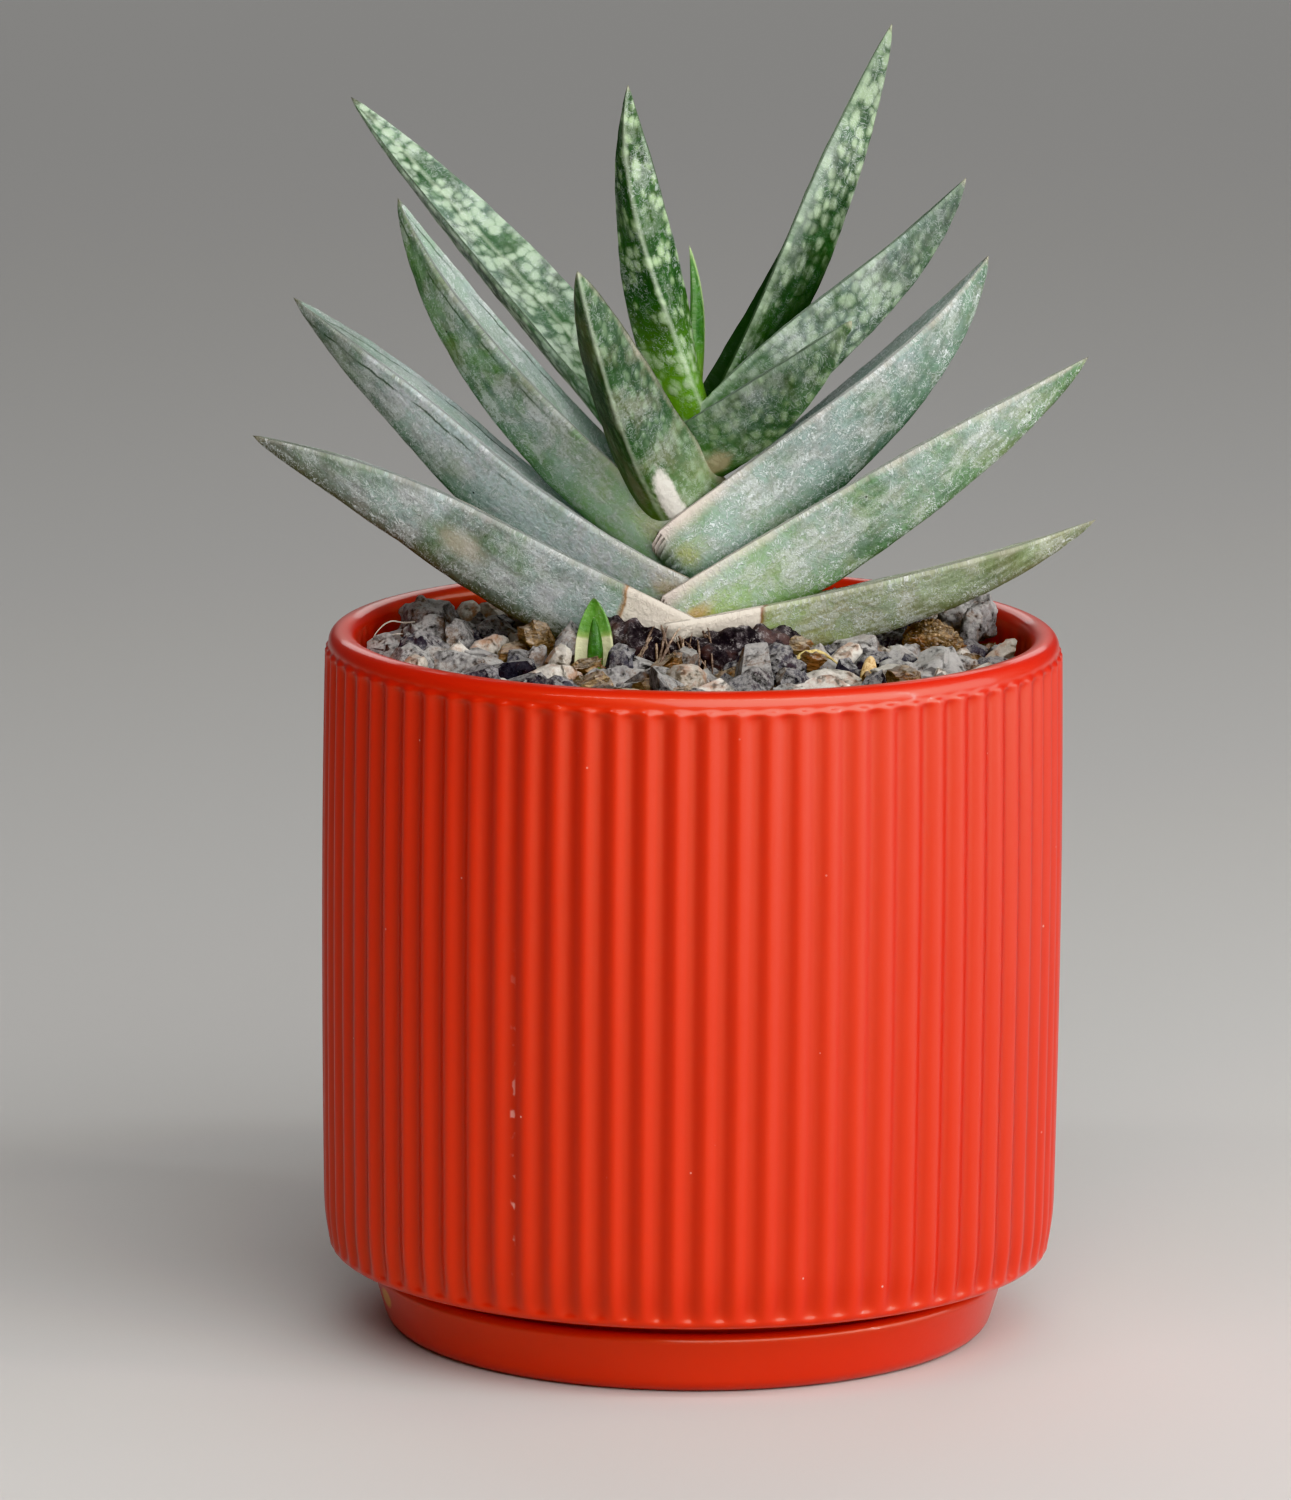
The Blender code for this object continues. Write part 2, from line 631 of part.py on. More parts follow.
def crust_shape(crust):
    """A ragged crescent of dead leaf base that hugs the foot of the stem."""
    rings = []
    for step in range(CRUST_STEPS + 1):
        share = step / CRUST_STEPS
        swell = math.sin(math.pi * between(CRUST_END, 1.0 - CRUST_END, share)) ** 0.5
        angle = math.radians(between(crust.start, crust.end, share))
        outwards = Vector((math.cos(angle), math.sin(angle), 0.0))
        centre = Vector((*STEM_AXIS, crust.height)) + outwards * crust.radius
        ring = []
        for corner in range(CRUST_CORNERS):
            turn = math.tau * corner / CRUST_CORNERS
            rag = noise.noise(Vector((share * 6.0, corner * 1.3, crust.radius)))
            ragged = 1.0 + CRUST_RAGGEDNESS * rag
            out = math.cos(turn) * (crust.thickness / 2 * swell * ragged)
            up = math.sin(turn) * (crust.tall / 2 * swell * ragged)
            ring.append(centre + outwards * out + Vector((0.0, 0.0, up)))
        rings.append(ring)
    return loft(rings)


def make_crusts(material, collection, cutters, clearances):
    """The dead leaf bases, cut clear of the leaves and the stem that they lie against."""
    made = []
    for crust in CRUSTS:
        item = add_object(crust.name, crust_shape(crust), material, collection)
        for clearance in clearances:
            subtract(item, clearance)
        largest_piece(item)
        made.append(add_clearance(crust.name, crust_shape(crust), cutters))
    return made


def make_pup(material, collection, cutters):
    """The offset: its outer leaf is cut clear of the inner one, which it sheathes."""
    items = []
    spaces = []
    for leaf in (PUP_INNER, PUP_OUTER):
        shape = leaf_shape(leaf, PUP_ROOT, PUP_SHEATH)
        items.append(add_object(leaf.name, shape, material, collection))
        spaces.append(add_clearance(leaf.name, leaf_shape(leaf, PUP_ROOT, PUP_SHEATH), cutters))
    subtract(items[1], spaces[0])
    largest_piece(items[1])
    return spaces


def main():
    """Build the whole object."""
    remove_everything()
    parts = new_collection("potted_gasteria")
    cutters = new_collection("cutters")
    materials = {name: new_material(name, *look) for name, look in COLOURS.items()}

    make_saucer(materials["red_glaze"], parts)
    make_pot(materials["red_glaze"], parts, cutters)
    plant = make_leaves(materials, parts, cutters)
    buried = [make_crown_hollow(cutters)] + plant
    buried += make_crusts(materials["dried_leaf_base"], parts, cutters, plant)
    buried += make_pup(materials["bright_leaf"], parts, cutters)
    buried += make_stones(materials, parts, cutters)
    mix = make_mix(materials["gritty_mix"], parts)
    for clearance in buried:
        subtract(mix, clearance)
    largest_piece(mix)


main()
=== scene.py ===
"""Looks of a potted gasteria: keeled leaves in gravel, in a fluted red pot on its saucer.

Lengths are millimetres until to_metres() finishes a piece.  The origin is the centre of
the saucer's underside, +Z is up, the fan of leaves spreads along X and faces -Y.
"""

import logging
import math
from dataclasses import dataclass, replace
from enum import Enum
from typing import Callable, Sequence

import bmesh
import bpy
import numpy as np
from mathutils import Matrix, Vector, noise


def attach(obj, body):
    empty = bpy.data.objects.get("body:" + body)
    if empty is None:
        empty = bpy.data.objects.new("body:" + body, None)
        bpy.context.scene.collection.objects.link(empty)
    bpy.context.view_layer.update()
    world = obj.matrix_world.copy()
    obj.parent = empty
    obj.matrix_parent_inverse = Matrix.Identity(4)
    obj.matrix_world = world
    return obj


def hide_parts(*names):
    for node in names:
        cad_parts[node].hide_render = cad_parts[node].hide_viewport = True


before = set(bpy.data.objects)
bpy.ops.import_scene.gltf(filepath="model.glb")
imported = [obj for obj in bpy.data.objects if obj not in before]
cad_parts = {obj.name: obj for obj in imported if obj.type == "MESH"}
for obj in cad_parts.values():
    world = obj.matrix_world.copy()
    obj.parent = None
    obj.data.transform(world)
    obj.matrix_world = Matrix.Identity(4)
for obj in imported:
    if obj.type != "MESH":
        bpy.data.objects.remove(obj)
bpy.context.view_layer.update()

LOG = logging.getLogger("gasteria")
MM = 0.001
ORIGIN = (0.0, 0.0, 0.0)

Feed = bpy.types.NodeSocket | float | str | tuple
Test = Callable[[Vector], bool]


# ---------------------------------------------------------------- modelling by hand


def deselect_everything() -> None:
    """Leave nothing selected, so that an operator acts only on the new piece."""
    if bpy.context.object and bpy.context.object.mode != "OBJECT":
        bpy.ops.object.mode_set(mode="OBJECT")
    bpy.ops.object.select_all(action="DESELECT")


def start_piece(name: str) -> bpy.types.Object:
    """Name the primitive that was just added and open it in edit mode, all selected.

    Args:
        name: the piece's name.
    Returns:
        The new object.
    """
    piece = bpy.context.object
    piece.name = name
    piece.data.name = name
    bpy.ops.object.mode_set(mode="EDIT")
    bpy.ops.mesh.select_all(action="SELECT")
    return piece


def pick(piece: bpy.types.Object, test: Test, edges: bool = False) -> None:
    """Select, in edit mode, the vertices or edges whose points all pass a test.

    Args:
        piece: the object in edit mode.
        test: tells whether a point is wanted.
        edges: pick edges and not vertices.
    """
    bpy.ops.mesh.select_mode(type="EDGE" if edges else "VERT")
    bpy.ops.mesh.select_all(action="DESELECT")
    mesh = bmesh.from_edit_mesh(piece.data)
    for part in mesh.edges if edges else mesh.verts:
        points = part.verts if edges else (part,)
        part.select_set(all(test(vert.co) for vert in points))
    mesh.select_flush_mode()
    bmesh.update_edit_mesh(piece.data)


def face_outwards() -> None:
    """Turn every face of the piece in edit mode outwards, and leave edit mode."""
    bpy.ops.mesh.select_all(action="SELECT")
    bpy.ops.mesh.normals_make_consistent(inside=False)
    bpy.ops.object.mode_set(mode="OBJECT")


def take_up(piece: bpy.types.Object) -> None:
    """Select one piece alone and make it the active one."""
    deselect_everything()
    bpy.context.view_layer.objects.active = piece
    piece.select_set(True)


def finish_with(piece: bpy.types.Object, kind: str, **settings) -> None:
    """Add a modifier to a piece and apply it.

    Args:
        piece: the object, in object mode.
        kind: the modifier's type.
        settings: the modifier's own values.
    """
    take_up(piece)
    added = piece.modifiers.new(kind.lower(), kind)
    for setting, value in settings.items():
        setattr(added, setting, value)
    bpy.ops.object.modifier_apply(modifier=added.name)


class Texture(Enum):
    """Random fields for Displace, as Blender texture types."""

    BUBBLES = "VORONOI"
    SHEETS = "WOOD"
    GRAINS = "CLOUDS"


def relief(texture: Texture, grain: float) -> bpy.types.Texture:
    """A random field for Displace.

    Args:
        texture: its kind.
        grain: the size of its lumps in millimetres.
    Returns:
        The texture.
    """
    made = bpy.data.textures.new("relief", texture.value)
    made.noise_scale = grain
    if texture is Texture.GRAINS:
        made.noise_depth = 3
    if texture is Texture.SHEETS:
        made.wood_type = "BANDNOISE"
    return made


def roughen(piece: bpy.types.Object, texture: Texture, *lumps: tuple[float, float],
            direction: str = "NORMAL") -> None:
    """Displace a piece by random fields.

    Args:
        piece: the object, in object mode.
        texture: the kind of the fields.
        lumps: for each field the size of its lumps and how far it moves the surface.
        direction: along the normals or an axis.
    """
    for grain, depth in lumps:
        finish_with(piece, "DISPLACE", texture=relief(texture, grain), direction=direction,
                    texture_coords="LOCAL", mid_level=0.5, strength=depth)


def write_values(piece: bpy.types.Object, name: str, values: Sequence[float]) -> None:
    """Keep one number for every vertex of a piece, as an attribute that its finish reads."""
    piece.data.attributes.new(name, "FLOAT", "POINT").data.foreach_set("value", values)


def draw_out(name: str, columns: int, profile: Sequence[tuple[float, float]]) -> bpy.types.Object:
    """Draw a circle out, step by step, along a profile, and close both of its ends.

    Args:
        name: the piece's name.
        columns: how many sides the round has.
        profile: radius and height at each step; the first and last are closed flat.
    Returns:
        The piece, in object mode, with its faces pointing outwards.
    """
    deselect_everything()
    first_radius, first_height = profile[0]
    bpy.ops.mesh.primitive_circle_add(vertices=columns, radius=first_radius, fill_type="NGON")
    piece = start_piece(name)
    bpy.ops.transform.translate(value=(0.0, 0.0, first_height))
    for (radius, height), (wider, higher) in zip(profile, profile[1:]):
        lift = {"value": (0.0, 0.0, higher - height)}
        bpy.ops.mesh.extrude_region_move(TRANSFORM_OT_translate=lift)
        share = wider / radius
        bpy.ops.transform.resize(value=(share, share, 1.0), center_override=ORIGIN)
    face_outwards()
    return piece


def draw_tube(name: str, corners: int, steps: int, pointed: bool = False) -> bpy.types.Object:
    """Draw a disc of radius 1 out into a straight blank, with a ring at every whole height.

    Args:
        name: the piece's name.
        corners: how many sides the blank has.
        steps: how high it is.
        pointed: close the last ring to a point.
    Returns:
        The blank, in object mode.
    """
    deselect_everything()
    bpy.ops.mesh.primitive_circle_add(vertices=corners, radius=1.0, fill_type="NGON")
    piece = start_piece(name)
    for _ in range(steps):
        bpy.ops.mesh.extrude_region_move(TRANSFORM_OT_translate={"value": (0.0, 0.0, 1.0)})
    if pointed:
        bpy.ops.mesh.merge(type="CENTER")
    bpy.ops.object.mode_set(mode="OBJECT")
    return piece


def join_copies(name: str, copies: Sequence[tuple[bpy.types.Mesh, Matrix, float]]) -> bpy.types.Object:
    """One piece made of many copies of a few modelled shapes.

    Args:
        name: the piece's name.
        copies: for each copy its shape, its place and its tone from 0 to 1.
    Returns:
        The piece; its attribute "tone" holds each copy's tone.
    """
    points, faces, tones = [], [], []
    for shape, place, tone in copies:
        first = len(points)
        points.extend(place @ vert.co for vert in shape.vertices)
        faces.extend([first + index for index in face.vertices] for face in shape.polygons)
        tones.extend([tone] * len(shape.vertices))
    mesh = bpy.data.meshes.new(name)
    mesh.from_pydata(points, [], faces)
    piece = bpy.data.objects.new(name, mesh)
    bpy.context.scene.collection.objects.link(piece)
    write_values(piece, "tone", tones)
    return piece


def to_metres(piece: bpy.types.Object, smooth_angle: float) -> None:
    """Scale a finished piece to metres, with its place in its mesh, and smooth its shading.

    Args:
        piece: the object, in object mode.
        smooth_angle: edges sharper than this, in degrees, stay crisp.
    """
    take_up(piece)
    bpy.ops.transform.resize(value=(MM, MM, MM), center_override=ORIGIN)
    bpy.ops.object.transform_apply(location=True, rotation=True, scale=True)
    bpy.ops.object.shade_smooth_by_angle(angle=math.radians(smooth_angle))


def hand_over(
    piece: bpy.types.Object,
    material: bpy.types.Material,
    slot: str,
    nodes: Sequence[str] = (),
    smooth_angle: float = 40.0,
) -> bpy.types.Object:
    """Finish a piece, dress it and fix it to the object.

    Args:
        piece: the modelled piece, in millimetres.
        material: its finish.
        slot: the record's material slot that it belongs to; not used.
        nodes: the CAD nodes that it stands for.
        smooth_angle: edges sharper than this, in degrees, stay crisp.
    Returns:
        The same piece.
    """
    to_metres(piece, smooth_angle)
    piece.data.materials.clear()
    piece.data.materials.append(material)
    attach(piece, "root")
    if nodes:
        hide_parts(*nodes)
    LOG.info("%s: %d faces", piece.name, len(piece.data.polygons))
    return piece


# ---------------------------------------------------------------- small sums


def between(first: float, last: float, share: float) -> float:
    """The value that lies a share of the way from first to last."""
    return first + (last - first) * share


def smooth_step(value: float) -> float:
    """Ease from 0 to 1."""
    value = min(max(value, 0.0), 1.0)
    return value * value * (3.0 - 2.0 * value)


def around(turn: float, far: float = 1.0) -> Vector:
    """The level point that lies so far out at an angle, in radians from +X."""
    return Vector((far * math.cos(turn), far * math.sin(turn)))


def arc(
    centre: tuple[float, float], radius: float, start: float, end: float, steps: int
) -> list[tuple[float, float]]:
    """Points along an arc of a profile.

    Args:
        centre: radius and height of the arc's centre.
        radius: the arc's own radius.
        start: first angle in degrees, 0 outwards and 90 up.
        end: last angle in degrees.
        steps: how many pieces the arc is cut into.
    Returns:
        Radius and height of each point.
    """
    points = []
    for step in range(steps + 1):
        turn = math.radians(between(start, end, step / steps))
        points.append((centre[0] + radius * math.cos(turn), centre[1] + radius * math.sin(turn)))
    return points


def to_linear(colour: str) -> tuple[float, float, float, float]:
    """Turn an sRGB hex colour into linear red, green, blue and alpha.

    Args:
        colour: six hex digits.
    Returns:
        The four values that a colour socket takes.
    """
    made = []
    for start in (0, 2, 4):
        value = int(colour[start:start + 2], 16) / 255.0
        made.append(value / 12.92 if value <= 0.04045 else ((value + 0.055) / 1.055) ** 2.4)
    return (*made, 1.0)


# ---------------------------------------------------------------- finishes


class Finish:
    """A material under construction: a Principled shader and the nodes that feed it."""

    def __init__(self, name: str, roughness: float, **constants: float | tuple) -> None:
        """Start a material.

        Args:
            name: what the real material is.
            roughness: of its surface, where no node feeds it.
            constants: other shader sockets, with _ for a space.
        """
        self.material = bpy.data.materials.new(name)
        self.material.use_nodes = True
        self.tree = self.material.node_tree
        self.shader = self.tree.nodes["Principled BSDF"]
        self.shader.inputs["Roughness"].default_value = roughness
        for socket, value in constants.items():
            self.shader.inputs[socket.replace("_", " ")].default_value = value

    def add(self, kind: str, feeds: dict[str, Feed] | list[Feed], out: str = "",
            **settings) -> bpy.types.NodeSocket:
        """Add a node with its settings and links.

        Args:
            kind: the node's type, without "ShaderNode".
            feeds: what goes into its sockets, by name or in order: a socket, a number,
                a vector or a colour in hex.
            out: the name of the output wanted; the first one if empty.
            settings: the node's own values.
        Returns:
            The output socket.
        """
        node = self.tree.nodes.new("ShaderNode" + kind)
        for setting, value in settings.items():
            setattr(node, setting, value)
        shown = [socket for socket in node.inputs if socket.enabled]
        named = feeds.items() if isinstance(feeds, dict) else enumerate(feeds)
        for key, feed in named:
            socket = shown[key] if isinstance(key, int) else next(s for s in shown if s.name == key)
            if isinstance(feed, bpy.types.NodeSocket):
                self.tree.links.new(feed, socket)
            else:
                socket.default_value = to_linear(feed) if isinstance(feed, str) else feed
        given = [socket for socket in node.outputs if socket.enabled]
        return next((socket for socket in given if socket.name == out), given[0])

    def away(self, place: Feed, shift: tuple, stretch: tuple) -> bpy.types.NodeSocket:
        """How far a point is from a spot, in half widths of the spot.

        Args:
            place: the point.
            shift: what brings the spot's middle to the origin.
            stretch: one over its half width, along each axis.
        Returns:
            The distance.
        """
        for amount, operation in ((shift, "ADD"), (stretch, "MULTIPLY")):
            place = self.add("VectorMath", [place, amount], operation=operation)
        return self.add("VectorMath", [place], operation="LENGTH", out="Value")

    def finish(self, colour: Feed, layers: Sequence[tuple], roughness: Feed | None = None,
               relief: Feed | None = None, height: float = 0.0001) -> bpy.types.Material:
        """Lay colours over each other and link them, the roughness and the relief.

        Args:
            colour: the lowest colour.
            layers: for each colour above it how much of it shows, the colour, and its blend
                type where that isn't MIX.
            roughness: a socket, if the roughness varies.
            relief: a height from 0 to 1.
            height: how high 1 stands, in metres.
        Returns:
            The finished material.
        """
        for amount, shade, *blend in layers:
            colour = self.add("Mix", [amount, colour, shade], data_type="RGBA",
                              blend_type=blend[0] if blend else "MIX")
        self.tree.links.new(colour, self.shader.inputs["Base Color"])
        if roughness is not None:
            self.tree.links.new(roughness, self.shader.inputs["Roughness"])
        if relief is not None:
            bump = self.add("Bump", {"Strength": 1.0, "Distance": height, "Height": relief})
            self.tree.links.new(bump, self.shader.inputs["Normal"])
        return self.material


SOFT = {"interpolation_type": "SMOOTHSTEP"}


@dataclass(frozen=True)
class RedGlaze:
    """Red selenium glaze on stoneware: glossy, deeper where it pools, thinner on every crest."""

    name: str = "red_selenium_glaze"
    pooled: str = "a80a05"
    body: str = "bc150a"
    crest: str = "c4200f"
    dust: str = "e8c3b8"
    sheen: str = "ffb88c"
    roughness: float = 0.42
    chip: str = "c98a2e"
    chip_shift: tuple[float, ...] = (0.0489, 0.0126, -0.0068)
    chip_stretch: tuple[float, ...] = (750.0, 210.0, 420.0)
    seam_shift: tuple[float, ...] = (0.0283, 0.0524, 0.0)

    def make(self) -> bpy.types.Material:
        """Make the glaze; it reads the attribute "crest", 0 in a flute's bottom and 1 on a rib."""
        paint = Finish(self.name, self.roughness, IOR=1.6, Coat_Weight=0.5, Coat_Roughness=0.1,
                       Specular_Tint=to_linear(self.sheen), Specular_IOR_Level=1.0)
        add = paint.add
        place = add("TexCoord", {}, out="Object")
        crest = add("Attribute", {}, out="Fac", attribute_name="crest")
        # Clouding of the glaze over about 25 mm, and fine orange peel of 0.8 mm.
        cloud = add("TexNoise", {"Vector": place, "Scale": 40.0, "Detail": 3.0})
        peel = add("TexNoise", {"Vector": place, "Scale": 1250.0, "Detail": 1.0})
        lifted = add("Math", [crest, cloud, -0.15], operation="MULTIPLY_ADD", use_clamp=True)
        # Dust motes about 0.3 mm across, one in a few square centimetres.
        cells = add("TexVoronoi", {"Vector": place, "Scale": 260.0}, feature="F1")
        mote = add("MapRange", [cells, 0.03, 0.06, 1.0, 0.0])
        where = add("TexNoise", {"Vector": place, "Scale": 90.0, "Detail": 2.0})
        dusty = add("MapRange", [where, 0.58, 0.66, 0.0, 0.8])
        speck = add("Math", [mote, dusty], operation="MULTIPLY", use_clamp=True)
        # Where the glaze has chipped off the dish's left end, the ochre body shows.
        chipped = paint.away(place, self.chip_shift, self.chip_stretch)
        chipped = add("Math", [cloud, 1.2, chipped], operation="MULTIPLY_ADD")
        chipped = add("MapRange", [chipped, 1.4, 1.7, 1.0, 0.0])
        # A row of pale specks down one flute, where the slip cast's seam was trimmed.
        seam = paint.away(place, self.seam_shift, (1.0, 1.0, 0.0))
        seam = add("MapRange", [seam, 0.0003, 0.0006, 0.6, 0.0])
        gaps = add("TexNoise", {"Vector": place, "Scale": 420.0, "Detail": 2.0})
        gaps = add("MapRange", [gaps, 0.57, 0.64, 0.0, 1.0])
        low = add("SeparateXYZ", [place], out="Z")
        low = add("MapRange", [low, 0.03, 0.075, 1.0, 0.0])
        for share in (gaps, low):
            seam = add("Math", [seam, share], operation="MULTIPLY")
        layers = [(crest, self.body), (lifted, self.crest), (speck, self.dust), (chipped, self.chip),
                  (seam, self.dust)]
        return paint.finish(self.pooled, layers, relief=peel, height=0.000012)


class Face(Enum):
    """The two faces of a leaf, as the attribute "reach" tells them apart."""

    BACK = 0.0
    UPPER = 1.0


WAX_EDGE = "dde3e2"
CREASE_PAINTED_SHADE = "26401f"
PIT_BLACK = "17150f"
ROT_RED = "8d4f43"
ROT_BLACK = "33272b"


@dataclass(frozen=True)
class ScarOrPaintedShade:
    """A patch on a leaf: mostly healed or discoloured tissue, on some leaves painted shade; across is
    measured from its keel.
    """

    across: float
    along: float
    half_width: float
    half_length: float
    colour: str
    amount: float = 1.0
    soft: float = 0.35


@dataclass(frozen=True)
class LeafSkin:
    """Gasteria leaf skin: waxy green with pale spots, under a frosted bloom as it ages."""

    deep: str = "2f4a28"
    mid: str = "6a8a5c"
    glow: str = "8fb060"
    glow_end: float = 0.45
    glow_amount: float = 0.35
    stain: str = "8d8a62"
    stain_amount: float = 0.25
    spot: str = "b9cda6"
    spot_amount: float = 0.0
    spot_cover: float = 0.5
    spot_size: tuple[float, float] = (1.5, 2.4)
    frost: str = "bfcecf"
    frost_warm: str = "c6c8ce"
    frost_amount: float = 0.75
    frost_cover: float = 0.6
    frost_low: float = 0.3
    hair_amount: float = 0.75
    flake_amount: float = 0.5
    keel: str = "55503a"
    keel_amount: float = 0.35
    keel_width: float = 1.5
    # A pale line along the middle; on leaf_front_left it is a painted highlight on the ridge.
    ridge_and_highlight: str = "c9d6bd"
    ridge_and_highlight_amount: float = 0.0
    crease: float = 0.0
    # Painted light and shade on the upper face: its colour is made lighter or darker for how light falls on
    # that face.
    upper_painted_light: str = "46604a"
    upper_painted_light_amount: float = 0.1
    margin: str = "cdc3b8"
    margin_amount: float = 0.4
    margin_width: float = 0.9
    blanch: float = 3.2
    cream: str = "e2d8c9"
    cream_end: float = 0.0
    rot: float = 5.0
    rust: str = "a9713a"
    tip: str = "a8a48e"
    scars_and_painted_shade: tuple[ScarOrPaintedShade, ...] = ()
    roughness: float = 0.5

    def make(self, name: str) -> bpy.types.Material:
        """Make the skin.

        The attribute "skin" holds millimetres across and along the leaf, and "reach" the
        share of its length, the distance from its margin and its face.

        Args:
            name: the material's name.
        Returns:
            The material.
        """
        paint = Finish(name, self.roughness, IOR=1.42, Specular_IOR_Level=0.4)
        add = paint.add
        skin = add("Attribute", {}, out="Vector", attribute_name="skin")
        reach = add("Attribute", {}, out="Vector", attribute_name="reach")
        share, rim, upper = (add("SeparateXYZ", [reach], out=axis) for axis in "XYZ")
        across, along = (add("SeparateXYZ", [skin], out=axis) for axis in "XY")
        off_keel = add("Math", [across], operation="ABSOLUTE")
        pulled = add("VectorMath", [skin, (1.0, 0.22, 1.0)], operation="MULTIPLY")
        # Random fields: tissue over 8 mm, over 1 mm and in streaks along the leaf; old stains,
        # drifts of bloom, crumbs of wax and hair-fine scratches.
        wide, fine, streak, patchy, drift, crumbs, hairs = (
            add("TexNoise", {"Vector": place, "Scale": scale, "Detail": detail, "Roughness": rough,
                             "Distortion": bend})
            for place, scale, detail, rough, bend in (
                (skin, 0.13, 4.0, 0.6, 0.0), (skin, 1.3, 5.0, 0.7, 0.0), (pulled, 0.8, 4.0, 0.6, 0.0),
                (skin, 0.17, 6.0, 0.6, 0.4), (skin, 0.1, 7.0, 0.62, 0.0), (skin, 1.8, 4.0, 0.75, 0.0),
                (skin, 0.7, 2.0, 0.6, 0.7)))
        tissue = add("Math", [wide, streak], operation="ADD")
        tissue = add("Math", [fine, 0.5, tissue], operation="MULTIPLY_ADD")
        tissue = add("MapRange", [tissue, 1.0, 1.5, 0.0, 1.0])

        # Young tissue near the base is brighter and yellower; on leaf_left_middle the brighter base is also
        # painted light that lifts the shade over it. Old tissue stains to olive.
        young_and_lit_base = add("MapRange", [share, 0.0, self.glow_end, self.glow_amount, 0.0], **SOFT)
        stained = add("MapRange", [patchy, 0.48, 0.66, 0.0, self.stain_amount])
        layers = [(tissue, self.mid), (young_and_lit_base, self.glow), (stained, self.stain)]
        spots = self.spots(paint, skin, fine) if self.spot_amount else None
        if spots is not None:
            amount = add("Math", [spots, self.spot_amount], operation="MULTIPLY")
            layers.append((amount, self.spot))
        # Painted light and shade on the upper face, lighter or darker for how light falls on it.
        painted_upper_light = add("Math", [upper, self.upper_painted_light_amount], operation="MULTIPLY")

        # Olive cork along the keel.
        ragged = add("Math", [fine, 2.4, off_keel], operation="MULTIPLY_ADD")
        keel = add("MapRange", [ragged, 1.1, 1.2 + self.keel_width, self.keel_amount, 0.0], **SOFT)
        keel = add("Math", [upper, -1.0, keel], operation="MULTIPLY_ADD", use_clamp=True)

        # Frosted bloom: soft drifts 8 to 15 mm wide that thin out towards the keel.
        low = 0.62 - 0.3 * self.frost_cover
        drift = add("MapRange", [drift, low - 0.1, low + 0.14, 0.12, 1.0])
        thin = add("MapRange", [off_keel, 0.5, 7.0, self.frost_low, 1.0])
        grain = add("MapRange", [fine, 0.36, 0.62, 0.6, 1.0])
        bloom = drift
        for factor in (thin, grain, self.frost_amount):
            bloom = add("Math", [bloom, factor], operation="MULTIPLY")
        frost = add("MapRange", [patchy, 0.42, 0.58, 0.0, 1.0])
        frost = add("Mix", [frost, self.frost, self.frost_warm], data_type="RGBA")

        # Flakes of old wax with bright edges, and the scratches, all in short lengths.
        broken = add("Math", [streak, crumbs], operation="ADD")
        broken = add("MapRange", [broken, 0.92, 1.02, 0.0, 1.0])
        flakes = add("MapRange", [patchy, 0.53, 0.57, 0.0, 0.55])
        marks = add("Math", [flakes, self.flake_amount], operation="MULTIPLY")
        for field, middle, breadth, amount in ((patchy, 0.545, 0.01, self.flake_amount),
                                               (hairs, 0.47, 0.03, self.hair_amount),
                                               (hairs, 0.58, 0.03, self.hair_amount)):
            line = add("Math", [field, middle], operation="SUBTRACT")
            line = add("Math", [line], operation="ABSOLUTE")
            line = add("MapRange", [line, breadth * 0.3, breadth, amount, 0.0])
            marks = add("Math", [marks, line], operation="MAXIMUM")
        for factor in (broken, drift):
            marks = add("Math", [marks, factor], operation="MULTIPLY")
        layers += [(painted_upper_light, self.upper_painted_light), (keel, self.keel), (bloom, frost), (marks, WAX_EDGE)]

        # A pale line along the middle: on a young leaf its own colour, on leaf_front_left a painted
        # highlight where light catches its ridge.
        if self.ridge_and_highlight_amount:
            ridge_and_highlight = add("MapRange", [off_keel, 0.1, 0.7, self.ridge_and_highlight_amount, 0.0])
            layers.append((ridge_and_highlight, self.ridge_and_highlight))
        # Painted shade of a crease: a dark line that runs just inside the margin, in broken lengths.
        if self.crease:
            bowed = add("Math", [wide, 1.6, rim], operation="MULTIPLY_ADD")
            apart = add("Math", [bowed, self.crease], operation="SUBTRACT")
            apart = add("Math", [apart], operation="ABSOLUTE")
            line = add("MapRange", [apart, 0.05, 0.32, 0.8, 0.0])
            inner = add("MapRange", [share, 0.35, 0.45, 0.0, 1.0])
            gaps = add("MapRange", [streak, 0.4, 0.52, 0.15, 1.0])
            for factor in (inner, gaps):
                line = add("Math", [line, factor], operation="MULTIPLY")
            layers.append((line, CREASE_PAINTED_SHADE))

        # Horny margins: a thin pale line, blanched and broad near the base.
        uneven = add("Math", [fine, 1.2, rim], operation="MULTIPLY_ADD")
        uneven = add("Math", [wide, 2.0, uneven], operation="MULTIPLY_ADD")
        spread = add("MapRange", [share, 0.0, 0.28, self.blanch + 1.4, self.margin_width + 1.4])
        margin = add("MapRange", [uneven, 1.1, spread, self.margin_amount, 0.0], **SOFT)
        stronger = add("MapRange", [share, 0.0, 0.25, 2.0, 1.0])
        margin = add("Math", [margin, stronger], operation="MULTIPLY", use_clamp=True)
        layers.append((margin, self.margin))

